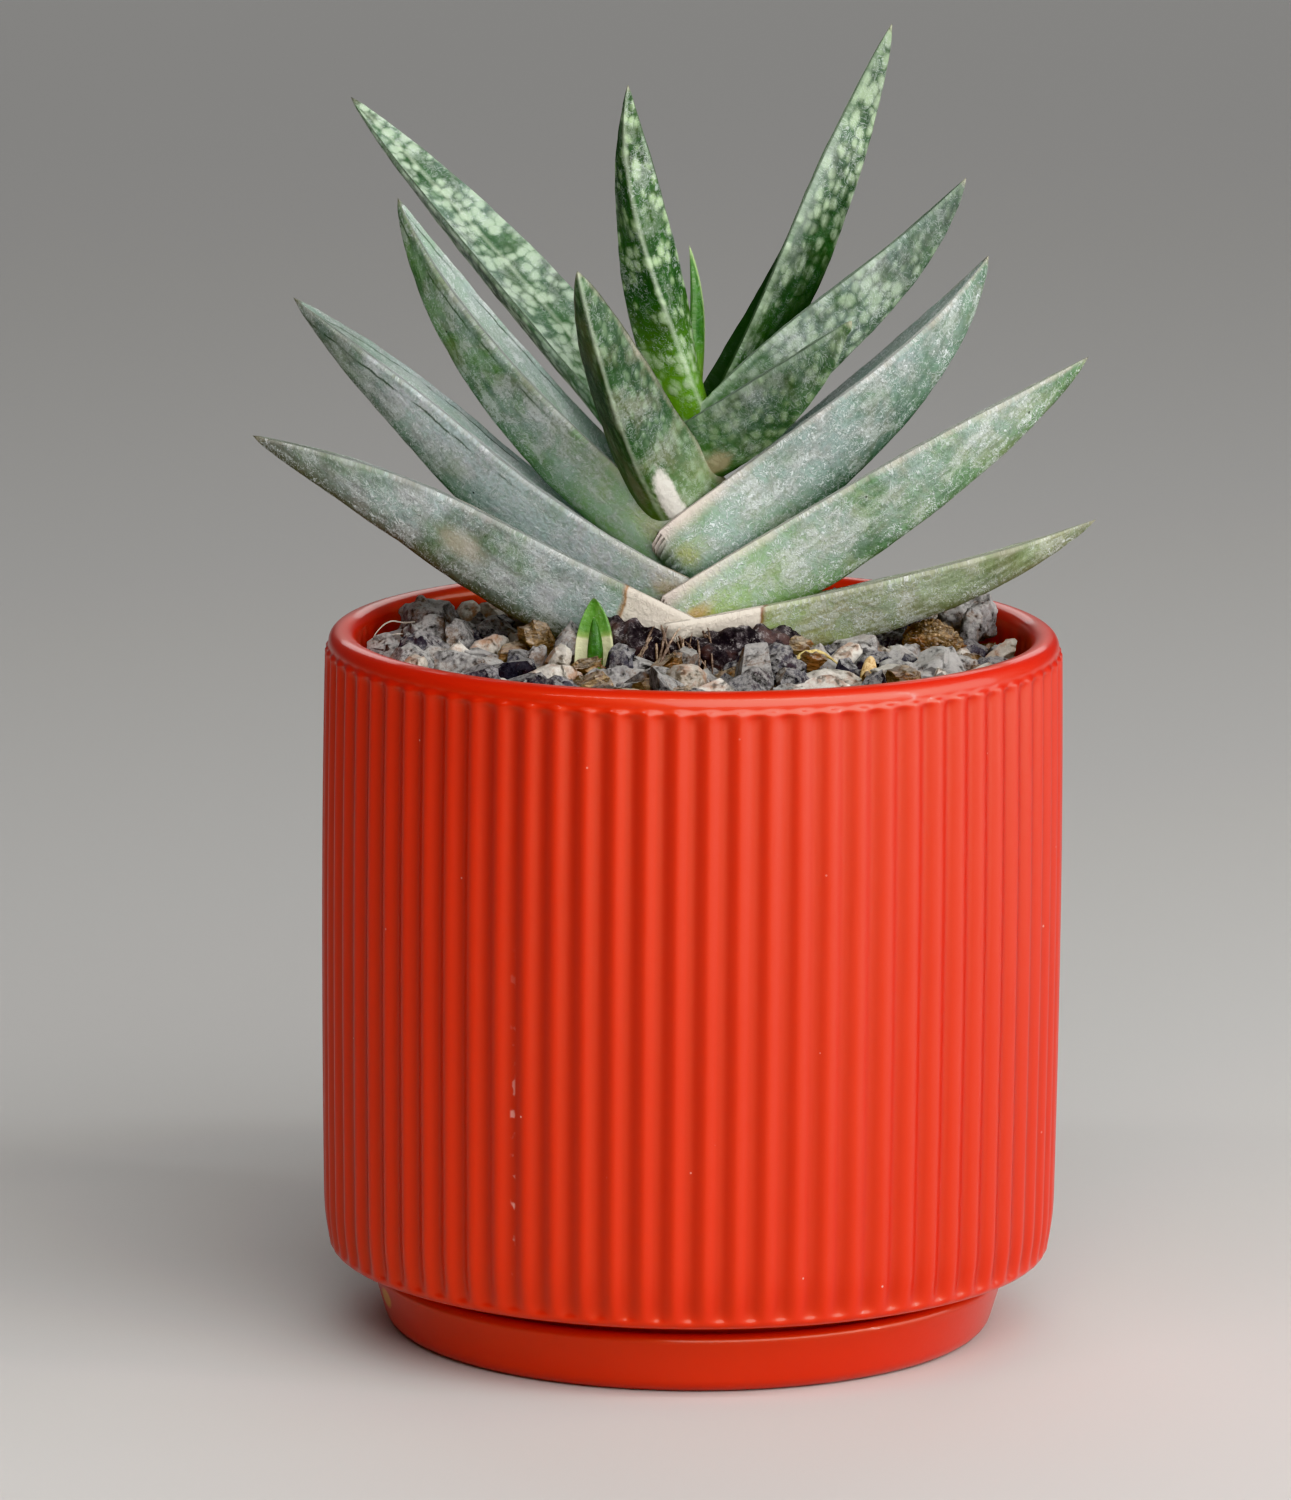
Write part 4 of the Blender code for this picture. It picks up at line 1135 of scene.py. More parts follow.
@dataclass
class Plant:
    """The gasteria: thirteen leaves round one stem, from the oldest to the newest, and a pup."""

    leaves: tuple[Leaf, ...] = (
        Leaf("leaf_right_lowest",
             replace(FROSTED, deep="566640", mid="909f74", glow="93b048", glow_amount=0.95, glow_end=0.5,
                     frost="b2bcae", frost_warm="b3ae9c",
                     frost_amount=0.68, stain_amount=0.3, stain="7a7b58", keel_amount=0.6, keel_width=3.5,
                     cream_end=14.2, rot=4.0, rust="7a3a22", margin_amount=0.3,
                     blanch=1.4, upper_painted_light_amount=0.0,
                     scars_and_painted_shade=(ScarOrPaintedShade(-2.5, 20.0, 3.0, 6.0, "b7ac7c", 0.5, 0.9),)),
             -4, 117.0, (10, 14.5, 19), 69.5, 14, 9.8, 13, 3, (-8, -8)),
        Leaf("leaf_left_lowest",
             replace(FROSTED, deep="33472a", mid="66805a", frost_amount=0.78, frost_cover=0.65,
                     frost_low=0.15, keel="4b4426", keel_amount=0.9, keel_width=5.5, stain="80826a",
                     stain_amount=0.3, cream_end=10.8, rot=8.0, glow="5f8a35", glow_amount=0.75,
                     glow_end=0.32, margin_amount=0.3, blanch=1.4,
                     scars_and_painted_shade=(ScarOrPaintedShade(7.0, 38.0, 2.4, 5.0, "c0b8a4", 0.55, 0.9),
                            ScarOrPaintedShade(3.0, 70.0, 9.0, 9.0, "4c5040", 0.25, 1.0))),
             182, 117.3, (27, 28, 8), 76, 17, 13.6, 13, 2, (12, 8)),
        Leaf("leaf_right_low",
             replace(FROSTED, deep="345629", mid="648a58", glow="7fa24c", glow_amount=0.8,
                     frost="b4c2c1", frost_warm="b9bab9", frost_amount=0.68,
                     frost_cover=0.75, frost_low=0.15, stain="93a05f", stain_amount=0.3,
                     margin="d3c4ba", margin_amount=0.45,
                     scars_and_painted_shade=(ScarOrPaintedShade(-11.5, 0.5, 2.5, 3.0, "c08a45", 0.6, 0.8),
                            ScarOrPaintedShade(-9.0, 5.0, 4.0, 4.5, "8fa83a", 0.5, 1.0))),
             0, 122, (33, 31, 26), 76, 18, 13.2, 12.2, 5, (-12, -8)),
        Leaf("leaf_left_low",
             replace(FROSTED, deep="3c5a36", mid="738f64", frost_amount=0.92, frost_cover=0.9,
                     glow="86ab6c", glow_amount=0.5, crease=2.6, keel_amount=0.55, keel_width=2.0,
                     margin_amount=0.3, upper_painted_light="a9bdb0", upper_painted_light_amount=0.6,
                     scars_and_painted_shade=(ScarOrPaintedShade(12.6, 1.0, 2.6, 3.5, "c49a62", 0.5, 0.9),
                            ScarOrPaintedShade(9.0, 0.0, 4.0, 5.0, "8fa845", 0.45, 1.0),
                            ScarOrPaintedShade(0.0, 68.0, 14.0, 12.0, "3f4a3a", 0.45, 1.0))),
             180, 125.4, (26, 41, 30), 77, 17, 12.3, 11.4, 5, (4, -5)),
        Leaf("leaf_right_middle",
             replace(FROSTED, deep="33523a", mid="5d7c5e", frost="adbcbc", frost_warm="b2b3b6",
                     frost_amount=0.66, frost_cover=0.85, frost_low=0.2,
                     glow="7fa468", glow_amount=0.5, keel_amount=0.2, margin="d3c4ba", margin_amount=0.45,
                     upper_painted_light="a9bdb0", upper_painted_light_amount=0.6,
                     scars_and_painted_shade=(ScarOrPaintedShade(-11.0, -2.5, 2.6, 3.2, "a8a540", 0.5, 0.9),)),
             2, 134, (40, 38, 47), 65, 17, 13.9, 10.6, 8, (-12, 4)),
        Leaf("leaf_left_middle",
             replace(FROSTED, deep="2f5222", mid="648b4c", frost_amount=0.72, frost_cover=0.7,
                     # Its bright glow near the base is partly painted light, lifting the shade that falls
                     # over it.
                     glow="a5cf8c", glow_amount=0.8, crease=2.2, flake_amount=0.85, hair_amount=0.7,
                     keel_amount=0.2, margin_amount=0.3, upper_painted_light="a9bdb0", upper_painted_light_amount=0.55,
                     scars_and_painted_shade=(ScarOrPaintedShade(11.0, 2.0, 2.6, 4.0, "b3b060", 0.4, 0.9),)),
             178, 134.3, (40, 47, 56), 69, 16, 12, 9.8, 5, (3, -12)),
        Leaf("leaf_front_left",
             replace(FROSTED, deep="183212", mid="2e4c28", frost_amount=0.1, frost_cover=0.4,
                     # Its pale ridge line is a painted highlight where light catches the ridge.
                     ridge_and_highlight_amount=0.35, hair_amount=0.25, flake_amount=0.2,
                     spot="8aa37d", spot_amount=0.38, spot_cover=0.6, keel_amount=0.0, margin="c9b9ab",
                     margin_amount=0.35, blanch=2.6,
                     scars_and_painted_shade=(ScarOrPaintedShade(2.6, 8.5, 1.9, 6.5, "d6d2c9", 0.95),
                            ScarOrPaintedShade(-2.5, 12.0, 1.6, 5.0, "9a9a86", 0.5),
                            # This dark grey-brown patch down the left face is painted shade on the side
                            # turned from the light.
                            ScarOrPaintedShade(-5.5, 32.0, 5.0, 24.0, "4a4c44", 0.35, 0.8))),
             -122, 138, (42, 52, 56), 51, 13, 10, 8.5, 4, (14, 24)),
        Leaf("leaf_front_right",
             replace(SPOTTED, deep="22401a", mid="44643a", spot="8fa67c", spot_amount=0.5,
                     spot_size=(1.7, 2.2), spot_cover=0.7, frost_amount=0.35, glow_amount=0.3,
                     scars_and_painted_shade=(ScarOrPaintedShade(-3.5, 7.0, 2.0, 3.6, "b9ab8c", 0.7, 0.6),)),
             -42, 147, (30, 32, 34), 42, 12, 10, 7.5, 4, slot="spotted_leaf", blunt=0.16),
        Leaf("leaf_back_left",
             replace(SPOTTED, deep="23431f", mid="466a3f", spot="b2c6a8", spot_cover=1.2,
                     spot_size=(2.2, 1.9), spot_amount=0.85, frost_amount=0.35, frost_cover=0.5,
                     ridge_and_highlight_amount=0.3),
             150, 143, (45, 41, 36), 84, 14, 9, 6.5, 4, (-15, -15), slot="spotted_leaf"),
        Leaf("leaf_right_upper",
             replace(SPOTTED, deep="1b3318", mid="3a5834", spot="93a788", spot_cover=0.8,
                     spot_size=(1.7, 2.4), spot_amount=0.7, frost_amount=0.34, frost_cover=0.5,
                     margin_amount=0.45,
                     scars_and_painted_shade=(ScarOrPaintedShade(0.0, 56.0, 9.0, 16.0, "2c3730", 0.5, 1.0),)),
             -2, 148.6, (48, 38, 44), 61, 13, 11.2, 5.5, 3, (-12, -12), slot="spotted_leaf"),
        Leaf("leaf_right_top",
             replace(SPOTTED, deep="142f0e", mid="35562f", spot="a4b795", spot_cover=0.95,
                     spot_size=(1.7, 2.5), frost_amount=0.12, frost_cover=0.5, margin_amount=0.55,
                     # Its darkened upper face and its first patch, near black over the base, are painted
                     # shade under the leaf.
                     margin_width=1.0, upper_painted_light="35512f", upper_painted_light_amount=0.75,
                     scars_and_painted_shade=(ScarOrPaintedShade(0.0, 12.0, 12.0, 34.0, "112a0a", 0.9, 0.6),
                            ScarOrPaintedShade(-8.5, 54.0, 3.0, 22.0, "a4b0a6", 0.5, 0.8),
                            ScarOrPaintedShade(0.0, 70.0, 8.0, 16.0, "33452f", 0.35, 1.0))),
             6, 149, (60, 65, 63), 72.5, 11.5, 9, 4.8, 3, (8, -32), slot="spotted_leaf",
             root=(-1.3, 2.0)),
        Leaf("leaf_centre",
             replace(SPOTTED, deep="0f2c08", mid="264d1a", spot="a0b78c", spot_cover=0.78,
                     spot_size=(1.9, 2.3), spot_amount=0.8, glow="6c9f34", glow_amount=0.85, glow_end=0.42,
                     ridge_and_highlight_amount=0.35, frost_amount=0.02),
             -140, 150, (73, 78, 84), 56, 10.6, 7, 4.5, 3, (92, 10), slot="spotted_leaf",
             root=(-2.6, 2.0)),
        Leaf("leaf_heart", replace(FRESH, deep="1f4c10", mid="487a2a", glow_amount=0.5, ridge_and_highlight="cfe6a6",
                                   ridge_and_highlight_amount=0.6),
             0, 152, (86, 88, 92), 26, 3.4, 3.0, 2.0, 1, slot="bright_leaf",
             rings=20, sides=24, swell=0.1),
        Leaf("pup_outer_leaf",
             replace(FRESH, deep="4c8030", mid="8ab862", cream="dcdab2", cream_end=6.6, rot=20.0,
                     rust="a9bd72"),
             80, 109.5, (74, 84, 100), 13, 6.4, 3.4, 3.2, 0,
             slot="bright_leaf", sheath=11.0, root=PUP_ROOT, rings=16, sides=24, swell=0.1),
        Leaf("pup_inner_leaf", replace(FRESH, deep="22480f", mid="447a24"), -60, 109.5, (86, 88, 90),
             10, 3.0, 2.4, 1.2, 0, slot="bright_leaf", sheath=7.0, root=PUP_ROOT, rings=12,
             sides=16, swell=0.05),
    )

    def build(self) -> None:
        """Model every leaf with its own skin, and dress the stem."""
        for leaf in self.leaves:
            leaf.build()
        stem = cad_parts["stem"]
        stem.data.materials.clear()
        stem.data.materials.append(DryFibre("corky_stem", "6f5c3f", "a08a63").make())


# ---------------------------------------------------------------- mix and stones


@dataclass(frozen=True)
class Kind:
    """One mineral of the mix, with the shape of its broken grains."""

    name: str
    slot: str
    finish: Mineral
    cuts: int
    lumpiness: float
    share: float
    relief: Texture
    relief_depth: float


PUMICE = Kind("pumice", "grey_pumice",
              Mineral("grey_pumice_stone", "2c2a2b", "b0acaa", "8a7260"),
              6, 0.24, 0.34, Texture.BUBBLES, 1.1)
LAVA = Kind("lava", "dark_lava",
            Mineral("dark_lava_stone", "0e0d10", "64626a", "43373a", pore_size=1.0, pore_painted_shade=0.8,
                    dust_amount=0.6),
            7, 0.28, 0.28, Texture.BUBBLES, 1.4)
BARK = Kind("bark", "tan_bark",
            Mineral("tan_bark_chip", "6b4c34", "ccae86", "a06c45", layered=True, pore_painted_shade=0.5,
                    dust_amount=0.4),
            8, 0.2, 0.19, Texture.SHEETS, 0.7)
GRAIN = Kind("grain", "pale_grain",
             Mineral("cream_mineral_grain", "a2937e", "ece5da", "b98d70", pore_painted_shade=0.35,
                     dust_amount=0.3),
             8, 0.16, 0.19, Texture.GRAINS, 0.6)
KINDS = (PUMICE, LAVA, BARK, GRAIN)
MIDDLE_TONE = 0.5


@dataclass(frozen=True)
class Stone:
    """One of the larger grains, which has a solid of its own in the CAD."""

    name: str
    place: tuple[float, float]
    height: float
    size: tuple[float, float, float]
    turn: tuple[float, float, float]
    kind: Kind
    seed: int


STONES = (
    Stone("stone_pumice_rim", (45.3, 19.6), 113.0, (8.5, 6, 10), (10, -8, 20), PUMICE, 1),
    Stone("stone_slab_right", (45.4, 11.8), 112.2, (3.4, 6.5, 9.5), (0, 12, -14), PUMICE, 2),
    Stone("stone_layered_tan", (39.5, 3.6), 111.6, (9.5, 8, 9.5), (6, 10, 24), BARK, 3),
    Stone("stone_dark_right", (31.0, 8.5), 110.6, (10, 8, 7), (0, 0, 30), LAVA, 4),
    Stone("stone_right_back", (37.0, 20.0), 110.2, (10, 9, 6), (8, 0, 50), LAVA, 5),
    Stone("stone_right_edge", (42.0, -7.5), 110.0, (8, 7, 5), (0, 6, 12), PUMICE, 6),
    Stone("stone_front_husk_side", (33.5, -17.0), 110.0, (9, 7, 5.5), (6, 0, 40), PUMICE, 7),
    Stone("stone_front_right", (22.0, -23.5), 109.8, (11, 8, 5.5), (0, 4, 8), GRAIN, 8),
    Stone("stone_front_blue", (11.5, -19.0), 111.0, (11, 8, 7.5), (8, 0, -20), LAVA, 9),
    Stone("stone_front_centre", (-1.0, -24.5), 110.0, (9, 8, 6), (0, 8, 30), PUMICE, 10),
    Stone("stone_front_left", (-12.0, -24.0), 110.4, (10, 8, 6.5), (5, 0, -12), PUMICE, 11),
    Stone("stone_front_left_pale", (-22.5, -23.0), 110.0, (9, 7, 6), (0, 0, 24), GRAIN, 12),
    Stone("stone_flat_grey", (-34.5, -15.0), 110.6, (15, 9, 7), (4, 0, -18), PUMICE, 13),
    Stone("stone_purple_grey", (-42.5, -2.5), 110.8, (9, 8, 7.5), (0, 10, 30), LAVA, 14),
    Stone("stone_left_pale", (-33.0, 0.0), 110.6, (8, 7, 6), (0, 0, 60), GRAIN, 15),
    Stone("stone_left_rough", (-44.0, 10.0), 111.2, (9, 8, 8), (10, 0, 12), PUMICE, 16),
    Stone("stone_left_rough_back", (-42.5, 21.0), 111.4, (11, 9, 8), (0, 12, -30), PUMICE, 17),
    Stone("stone_left_grey", (-30.5, 12.5), 110.8, (10, 8, 7), (4, 6, 44), PUMICE, 18),
    Stone("stone_ochre_bark", (-31.5, 37.0), 111.2, (9, 6, 8), (0, 20, 16), BARK, 19),
    Stone("stone_back_left", (-18.0, 42.0), 110.4, (11, 9, 7), (0, 0, 8), LAVA, 20),
    Stone("stone_back_centre", (3.0, 40.0), 110.4, (12, 9, 7), (6, 0, -24), PUMICE, 21),
    Stone("stone_back_right", (22.0, 36.0), 110.2, (10, 9, 6), (0, 8, 36), GRAIN, 22),
)


@dataclass
class Mix:
    """The gritty mix: a dark bed, the larger stones and hundreds of small broken grains."""

    radius: float = 54.5
    low: float = 10.3
    edge_height: float = 108.6
    crown: float = 3.2
    shapes_of_each: int = 7
    small_stones: int = 820
    smallest: float = 1.6
    largest: float = 8.0
    crumbs: int = 1700
    roughness: float = 0.7
    bed_rings: int = 46
    bed_columns: int = 220
    bed_corner: float = 12.2
    bed_depth: float = 1.6
    crown_radius: float = 54.8
    unevenness: float = 0.8
    cell: float = 0.11
    clear_ring: float = 14.0
    ring_room: float = 3.4
    stem_room: float = 12.0
    pup_room: float = 2.0
    large_room: float = 0.4
    small_room: float = 0.36
    attempts: int = 14
    shrink_over: float = 5.0
    fine_from: float = 3.4
    crumb_sizes: tuple[float, float] = (0.7, 1.7)
    voxel: float = 0.36
    seed: int = 11

    def level(self, x: float, y: float) -> float:
        """Height of the mix's surface."""
        share = min(math.hypot(x, y) / self.crown_radius, 1.0)
        bump = noise.noise(Vector((x * self.cell, y * self.cell, 3.7)))
        return self.edge_height + self.crown * (1.0 - share * share) + self.unevenness * bump

    def build_bed(self) -> None:
        """The dark grit that shows in the gaps between the stones."""
        steps = [(self.radius * share, self.edge_height) for share in np.linspace(1.0, 0.02, self.bed_rings)]
        corner = self.bed_corner
        profile = [(self.radius - corner, self.low), (self.radius, self.low + corner)] + steps
        piece = draw_out("grit_bed", self.bed_columns, profile)
        for vert in piece.data.vertices:
            if vert.co.z > self.edge_height - 1.0:
                vert.co.z = self.level(vert.co.x, vert.co.y) - self.bed_depth
        roughen(piece, Texture.GRAINS, (1.6, 1.4), direction="Z")
        hand_over(piece, Grit().make(), "gritty_mix", ["potting_mix"], 50.0)

    def break_stone(self, name: str, kind: Kind, seed: int, subdivisions: int) -> bpy.types.Object:
        """Break a lump about 1 across: cut flats from a ball of uneven radius.

        Args:
            name: the lump's name.
            kind: its mineral, which tells how angular it is.
            seed: picks the cuts.
            subdivisions: how fine the ball is.
        Returns:
            The lump, in object mode.
        """
        chance = np.random.default_rng(seed)
        deselect_everything()
        bpy.ops.mesh.primitive_ico_sphere_add(subdivisions=subdivisions, radius=0.6)
        piece = start_piece(name)
        for _ in range(kind.cuts):
            facing = Vector(chance.normal(size=3)).normalized()
            bpy.ops.mesh.select_all(action="SELECT")
            bpy.ops.mesh.bisect(plane_co=facing * chance.uniform(0.3, 0.47), plane_no=facing,
                                use_fill=True, clear_outer=True)
        face_outwards()
        offset = Vector((seed * 3.1, seed * 1.7, 0.0))
        for vert in piece.data.vertices:
            lump = noise.noise(vert.co * 3.0 + offset) + 0.5 * noise.noise(vert.co * 8.0 + offset)
            vert.co *= 1.0 + lump * kind.lumpiness
        return piece

    def build_large(self, materials: dict[str, bpy.types.Material]) -> None:
        """The larger stones, each in its own place, with the relief of its mineral."""
        for stone in STONES:
            piece = self.break_stone("large_" + stone.name, stone.kind, stone.seed, 3)
            turn = Matrix.Identity(4)
            for axis, angle in zip("XYZ", stone.turn):
                turn = Matrix.Rotation(math.radians(angle), 4, axis) @ turn
            place = Matrix.Translation(Vector((*stone.place, stone.height)))
            piece.data.transform(place @ turn @ Matrix.Diagonal((*stone.size, 1.0)))
            finish_with(piece, "REMESH", mode="VOXEL", voxel_size=self.voxel)
            depth = stone.kind.relief_depth
            roughen(piece, stone.kind.relief, (3.2, depth), (1.1, depth * 0.55))
            write_values(piece, "tone", [MIDDLE_TONE] * len(piece.data.vertices))
            hand_over(piece, materials[stone.kind.name], stone.kind.slot, [stone.name], 50.0)

    def scatter(self) -> list[tuple[Vector, float]]:
        """Find room for every small stone: its place on the bed and its size."""
        chance = np.random.default_rng(self.seed)
        taken = [(Vector(stone.place), max(stone.size[:2]) * self.large_room) for stone in STONES]
        taken += [(Vector(STEM_AXIS) + around(math.radians(angle)) * self.clear_ring, self.ring_room)
                  for angle in range(-180, 180, 15)]
        taken += [(Vector(STEM_AXIS), self.stem_room), (Vector(PUP_ROOT), self.pup_room)]
        found = []
        for attempt in range(self.small_stones * self.attempts):
            if len(found) >= self.small_stones:
                break
            fade = min(attempt / (self.small_stones * self.shrink_over), 1.0)
            size = between(self.largest, self.smallest, fade) * chance.uniform(0.75, 1.25)
            far = (self.radius - size * 0.5) * math.sqrt(chance.uniform())
            place = around(chance.uniform(0.0, math.tau), far)
            if all((place - other).length > (room + size * self.small_room) for other, room in taken):
                taken.append((place, size * self.small_room))
                found.append((place, size))
        return found

    def build_small(self, materials: dict[str, bpy.types.Material]) -> None:
        """The small stones and the crumbs between them, one piece for each mineral."""
        chance = np.random.default_rng(self.seed + 1)
        shapes = {}
        for kind in KINDS:
            for fineness in (2, 3):
                lumps = [self.break_stone("lump", kind, seed + 1, fineness)
                         for seed in range(self.shapes_of_each)]
                shapes[kind.name, fineness] = [lump.data for lump in lumps]
                for lump in lumps:
                    bpy.data.objects.remove(lump)
        copies: dict[str, list] = {kind.name: [] for kind in KINDS}
        shares = np.array([kind.share for kind in KINDS])
        places = self.scatter()
        for _ in range(self.crumbs):
            far = (self.radius - 1.0) * math.sqrt(chance.uniform())
            place = around(chance.uniform(0.0, math.tau), far)
            places.append((place, chance.uniform(*self.crumb_sizes)))
        for place, size in places:
            kind = KINDS[chance.choice(len(KINDS), p=shares / shares.sum())]
            fineness = 3 if size > self.fine_from else 2
            shape = shapes[kind.name, fineness][chance.integers(self.shapes_of_each)]
            raised = size * 0.2 + chance.uniform(-0.5, 0.9) if size > 1.9 else chance.uniform(-0.6, 0.6)
            height = self.level(place.x, place.y) + raised - 0.5
            turn = Matrix.Rotation(chance.uniform(0, math.tau), 4, Vector(chance.normal(size=3)))
            scale = Matrix.Diagonal((size * 1.05, size * chance.uniform(0.55, 1.0),
                                     size * chance.uniform(0.4, 0.9), 1.0))
            move = Matrix.Translation(Vector((place.x, place.y, height)))
            copies[kind.name].append((shape, move @ turn @ scale, float(chance.uniform())))
        for kind in KINDS:
            piece = join_copies("small_" + kind.name, copies[kind.name])
            roughen(piece, kind.relief, (2.4, 0.9 * self.roughness), (0.9, 0.6 * self.roughness))
            hand_over(piece, materials[kind.name], kind.slot, smooth_angle=30.0)

    def build(self) -> None:
        """Model the bed and every stone."""
        materials = {kind.name: kind.finish.make() for kind in KINDS}
        self.build_bed()
        self.build_large(materials)
        self.build_small(materials)


@dataclass(frozen=True)
class Crust:
    """A crescent of dead leaf base round the foot of the stem."""

    name: str
    start: float
    end: float
    radii: tuple[float, float]
    heights: tuple[float, float]
    thickness: float
    tall: float
    steps: int = 90
    corners: int = 40

    def build(self, material: bpy.types.Material) -> bpy.types.Object:
        """Draw the crescent out round the stem, crumble it and hand it over."""
        piece = draw_tube("crumbling_" + self.name, self.corners, self.steps)
        for vert in piece.data.vertices:
            share = vert.co.z / self.steps
            swell = math.sin(math.pi * between(0.05, 0.95, share)) ** 0.5
            outwards = around(math.radians(between(self.start, self.end, share))).to_3d()
            centre = Vector((*STEM_AXIS, between(*self.heights, share)))
            centre += outwards * between(*self.radii, share)
            ragged = 1.0 + 0.35 * noise.noise(Vector((share * 9.0, vert.co.x * 1.3, vert.co.y * 1.3)))
            out = vert.co.x * self.thickness / 2 * swell * ragged
            up = vert.co.y * self.tall / 2 * swell * ragged
            vert.co = centre + outwards * out + Vector((0.0, 0.0, up))
        roughen(piece, Texture.GRAINS, (4.4, 1.6), (1.6, 0.7), (0.7, 0.35))
        return hand_over(piece, material, "dried_leaf_base", [self.name], 45.0)


CRUSTS = (
    Crust("dried_base_left", -178, -92, (13.8, 13.8), (115.2, 112.4), 6.5, 9.0),
    Crust("dried_base_right", -93, -10, (13.6, 19.5), (113.2, 112.4), 7.5, 9.0),
    Crust("dried_base_back", 40, 130, (13.0, 13.0), (112.0, 112.0), 4.5, 6.5),
)


@dataclass(frozen=True)
class Strand:
    """A dry scrap on the mix: a strip or thread that bends through a few points."""

    name: str
    points: tuple[tuple[float, float, float], ...]
    radius: float
    dark: str = "6a5138"
    light: str = "a88a66"

    def build(self, material: bpy.types.Material) -> bpy.types.Object:
        """Draw the scrap as a bevelled curve, make it a mesh and hand it over."""
        deselect_everything()
        bpy.ops.curve.primitive_nurbs_path_add()
        piece = bpy.context.object
        piece.name = self.name
        path = piece.data
        path.splines.clear()
        spline = path.splines.new("NURBS")
        spline.points.add(len(self.points) - 1)
        spline.use_endpoint_u = True
        spline.order_u = 3
        for index, (point, place) in enumerate(zip(spline.points, self.points)):
            point.co = (*place, 1.0)
            point.radius = 0.35 if index in (0, len(self.points) - 1) else 1.0
            point.tilt = index * 0.5
        path.bevel_depth = self.radius
        path.bevel_resolution = 2
        path.use_fill_caps = True
        path.resolution_u = 6
        bpy.ops.object.convert(target="MESH")
        piece = bpy.context.object
        roughen(piece, Texture.GRAINS, (1.0, self.radius * 0.9))
        return hand_over(piece, material, "dried_leaf_base", smooth_angle=50.0)


STRAW = {"dark": "a98f52", "light": "dcc98e"}
THREAD = {"dark": "c9bfae", "light": "efe9de", "radius": 0.16}
STRANDS = (
    Strand("curved_straw", ((15.9, -20.5, 111.6), (16.4, -16.5, 113.6), (18.2, -14.2, 114.2),
                            (21.0, -14.0, 114.0), (23.2, -16.5, 112.6)), 0.42, **STRAW),
    Strand("brown_stalk", ((6.0, -15.5, 110.0), (6.2, -14.2, 113.0), (6.6, -13.2, 116.2)), 0.45,
           dark="5f4126", light="96704a"),
    Strand("white_root_hair", ((-52.4, 14.5, 111.2), (-50.5, 16.0, 113.8), (-47.0, 17.5, 112.6),
                               (-43.5, 16.5, 113.6)), **THREAD),
    Strand("white_root_hair_low", ((-51.0, 10.5, 111.0), (-49.0, 9.5, 113.2), (-45.5, 8.0, 112.2)),
           **THREAD),
)


@dataclass
class Litter:
    """The dry scraps: torn leaf-base fibres, a straw, a stalk, root hairs and a husk."""

    fibres: int = 22
    husk_half: tuple[float, float, float] = (1.25, 0.8, 2.9)
    husk_place: tuple[float, float, float] = (27.9, -22.5, 112.0)
    husk_lean: tuple[float, float] = (-14, 7)
    seed: int = 5

    def torn_fibres(self) -> list[Strand]:
        """Papery strips that hang from the old leaf bases at the front of the stem."""
        chance = np.random.default_rng(self.seed)
        strips = []
        for index in range(self.fibres):
            outwards = around(math.radians(chance.uniform(-110, -66))).to_3d()
            start = Vector((*STEM_AXIS, 0.0)) + outwards * chance.uniform(13.0, 15.0)
            start.z = chance.uniform(115.0, 118.0)
            lean = Vector(chance.normal(size=3)) * 1.6
            middle = start + outwards * chance.uniform(2.5, 4.0) + lean * 0.5
            middle.z = start.z - chance.uniform(0.5, 2.0)
            end = middle + outwards * chance.uniform(0.5, 2.5) + lean
            end.z = chance.uniform(110.0, 111.5)
            tone = chance.uniform()
            strips.append(Strand(f"torn_fibre_{index + 1}", (tuple(start), tuple(middle), tuple(end)),
                                 chance.uniform(0.22, 0.5), dark="3f3029" if tone < 0.5 else "6e5847",
                                 light="8a7566" if tone < 0.5 else "b9a48e"))
        return strips

    def build_husk(self) -> None:
        """The tan husk that stands on end near the rim."""
        deselect_everything()
        bpy.ops.mesh.primitive_uv_sphere_add(segments=24, ring_count=16, radius=1.0)
        piece = start_piece("tan_husk")
        bpy.ops.transform.resize(value=self.husk_half, center_override=ORIGIN)
        bpy.ops.object.mode_set(mode="OBJECT")
        back, aside = (math.radians(angle) for angle in self.husk_lean)
        turn = Matrix.Rotation(back, 4, "X") @ Matrix.Rotation(aside, 4, "Y")
        piece.data.transform(Matrix.Translation(self.husk_place) @ turn)
        roughen(piece, Texture.GRAINS, (2.0, 0.5))
        hand_over(piece, DryFibre("tan_seed_husk", "a27e4c", "d8bd8c").make(), "tan_bark",
                  smooth_angle=60.0)

    def build(self) -> None:
        """Model every scrap."""
        materials: dict[tuple[str, str], bpy.types.Material] = {}
        for strand in (*STRANDS, *self.torn_fibres()):
            look = (strand.dark, strand.light)
            if look not in materials:
                materials[look] = DryFibre(f"dry_fibre_{len(materials) + 1}", *look).make()
            strand.build(materials[look])
        self.build_husk()


# ---------------------------------------------------------------- studio


# Each soft box: name, azimuth, elevation, distance, size and power.
LIGHTS = (
    ("key_box", 30, 28, 1.2, (1.8, 1.15), 25.0),
    ("side_box", 86, 14, 1.2, (0.9, 0.8), 5.0),
    ("lamp_strip", 2, 56, 1.1, (1.8, 0.05), 4.5),
    ("edge_strip", 70, 12, 0.9, (0.014, 0.5), 0.9),
    ("back_wash", 180, 32, 5.0, (4.0, 3.0), 60.0),
)


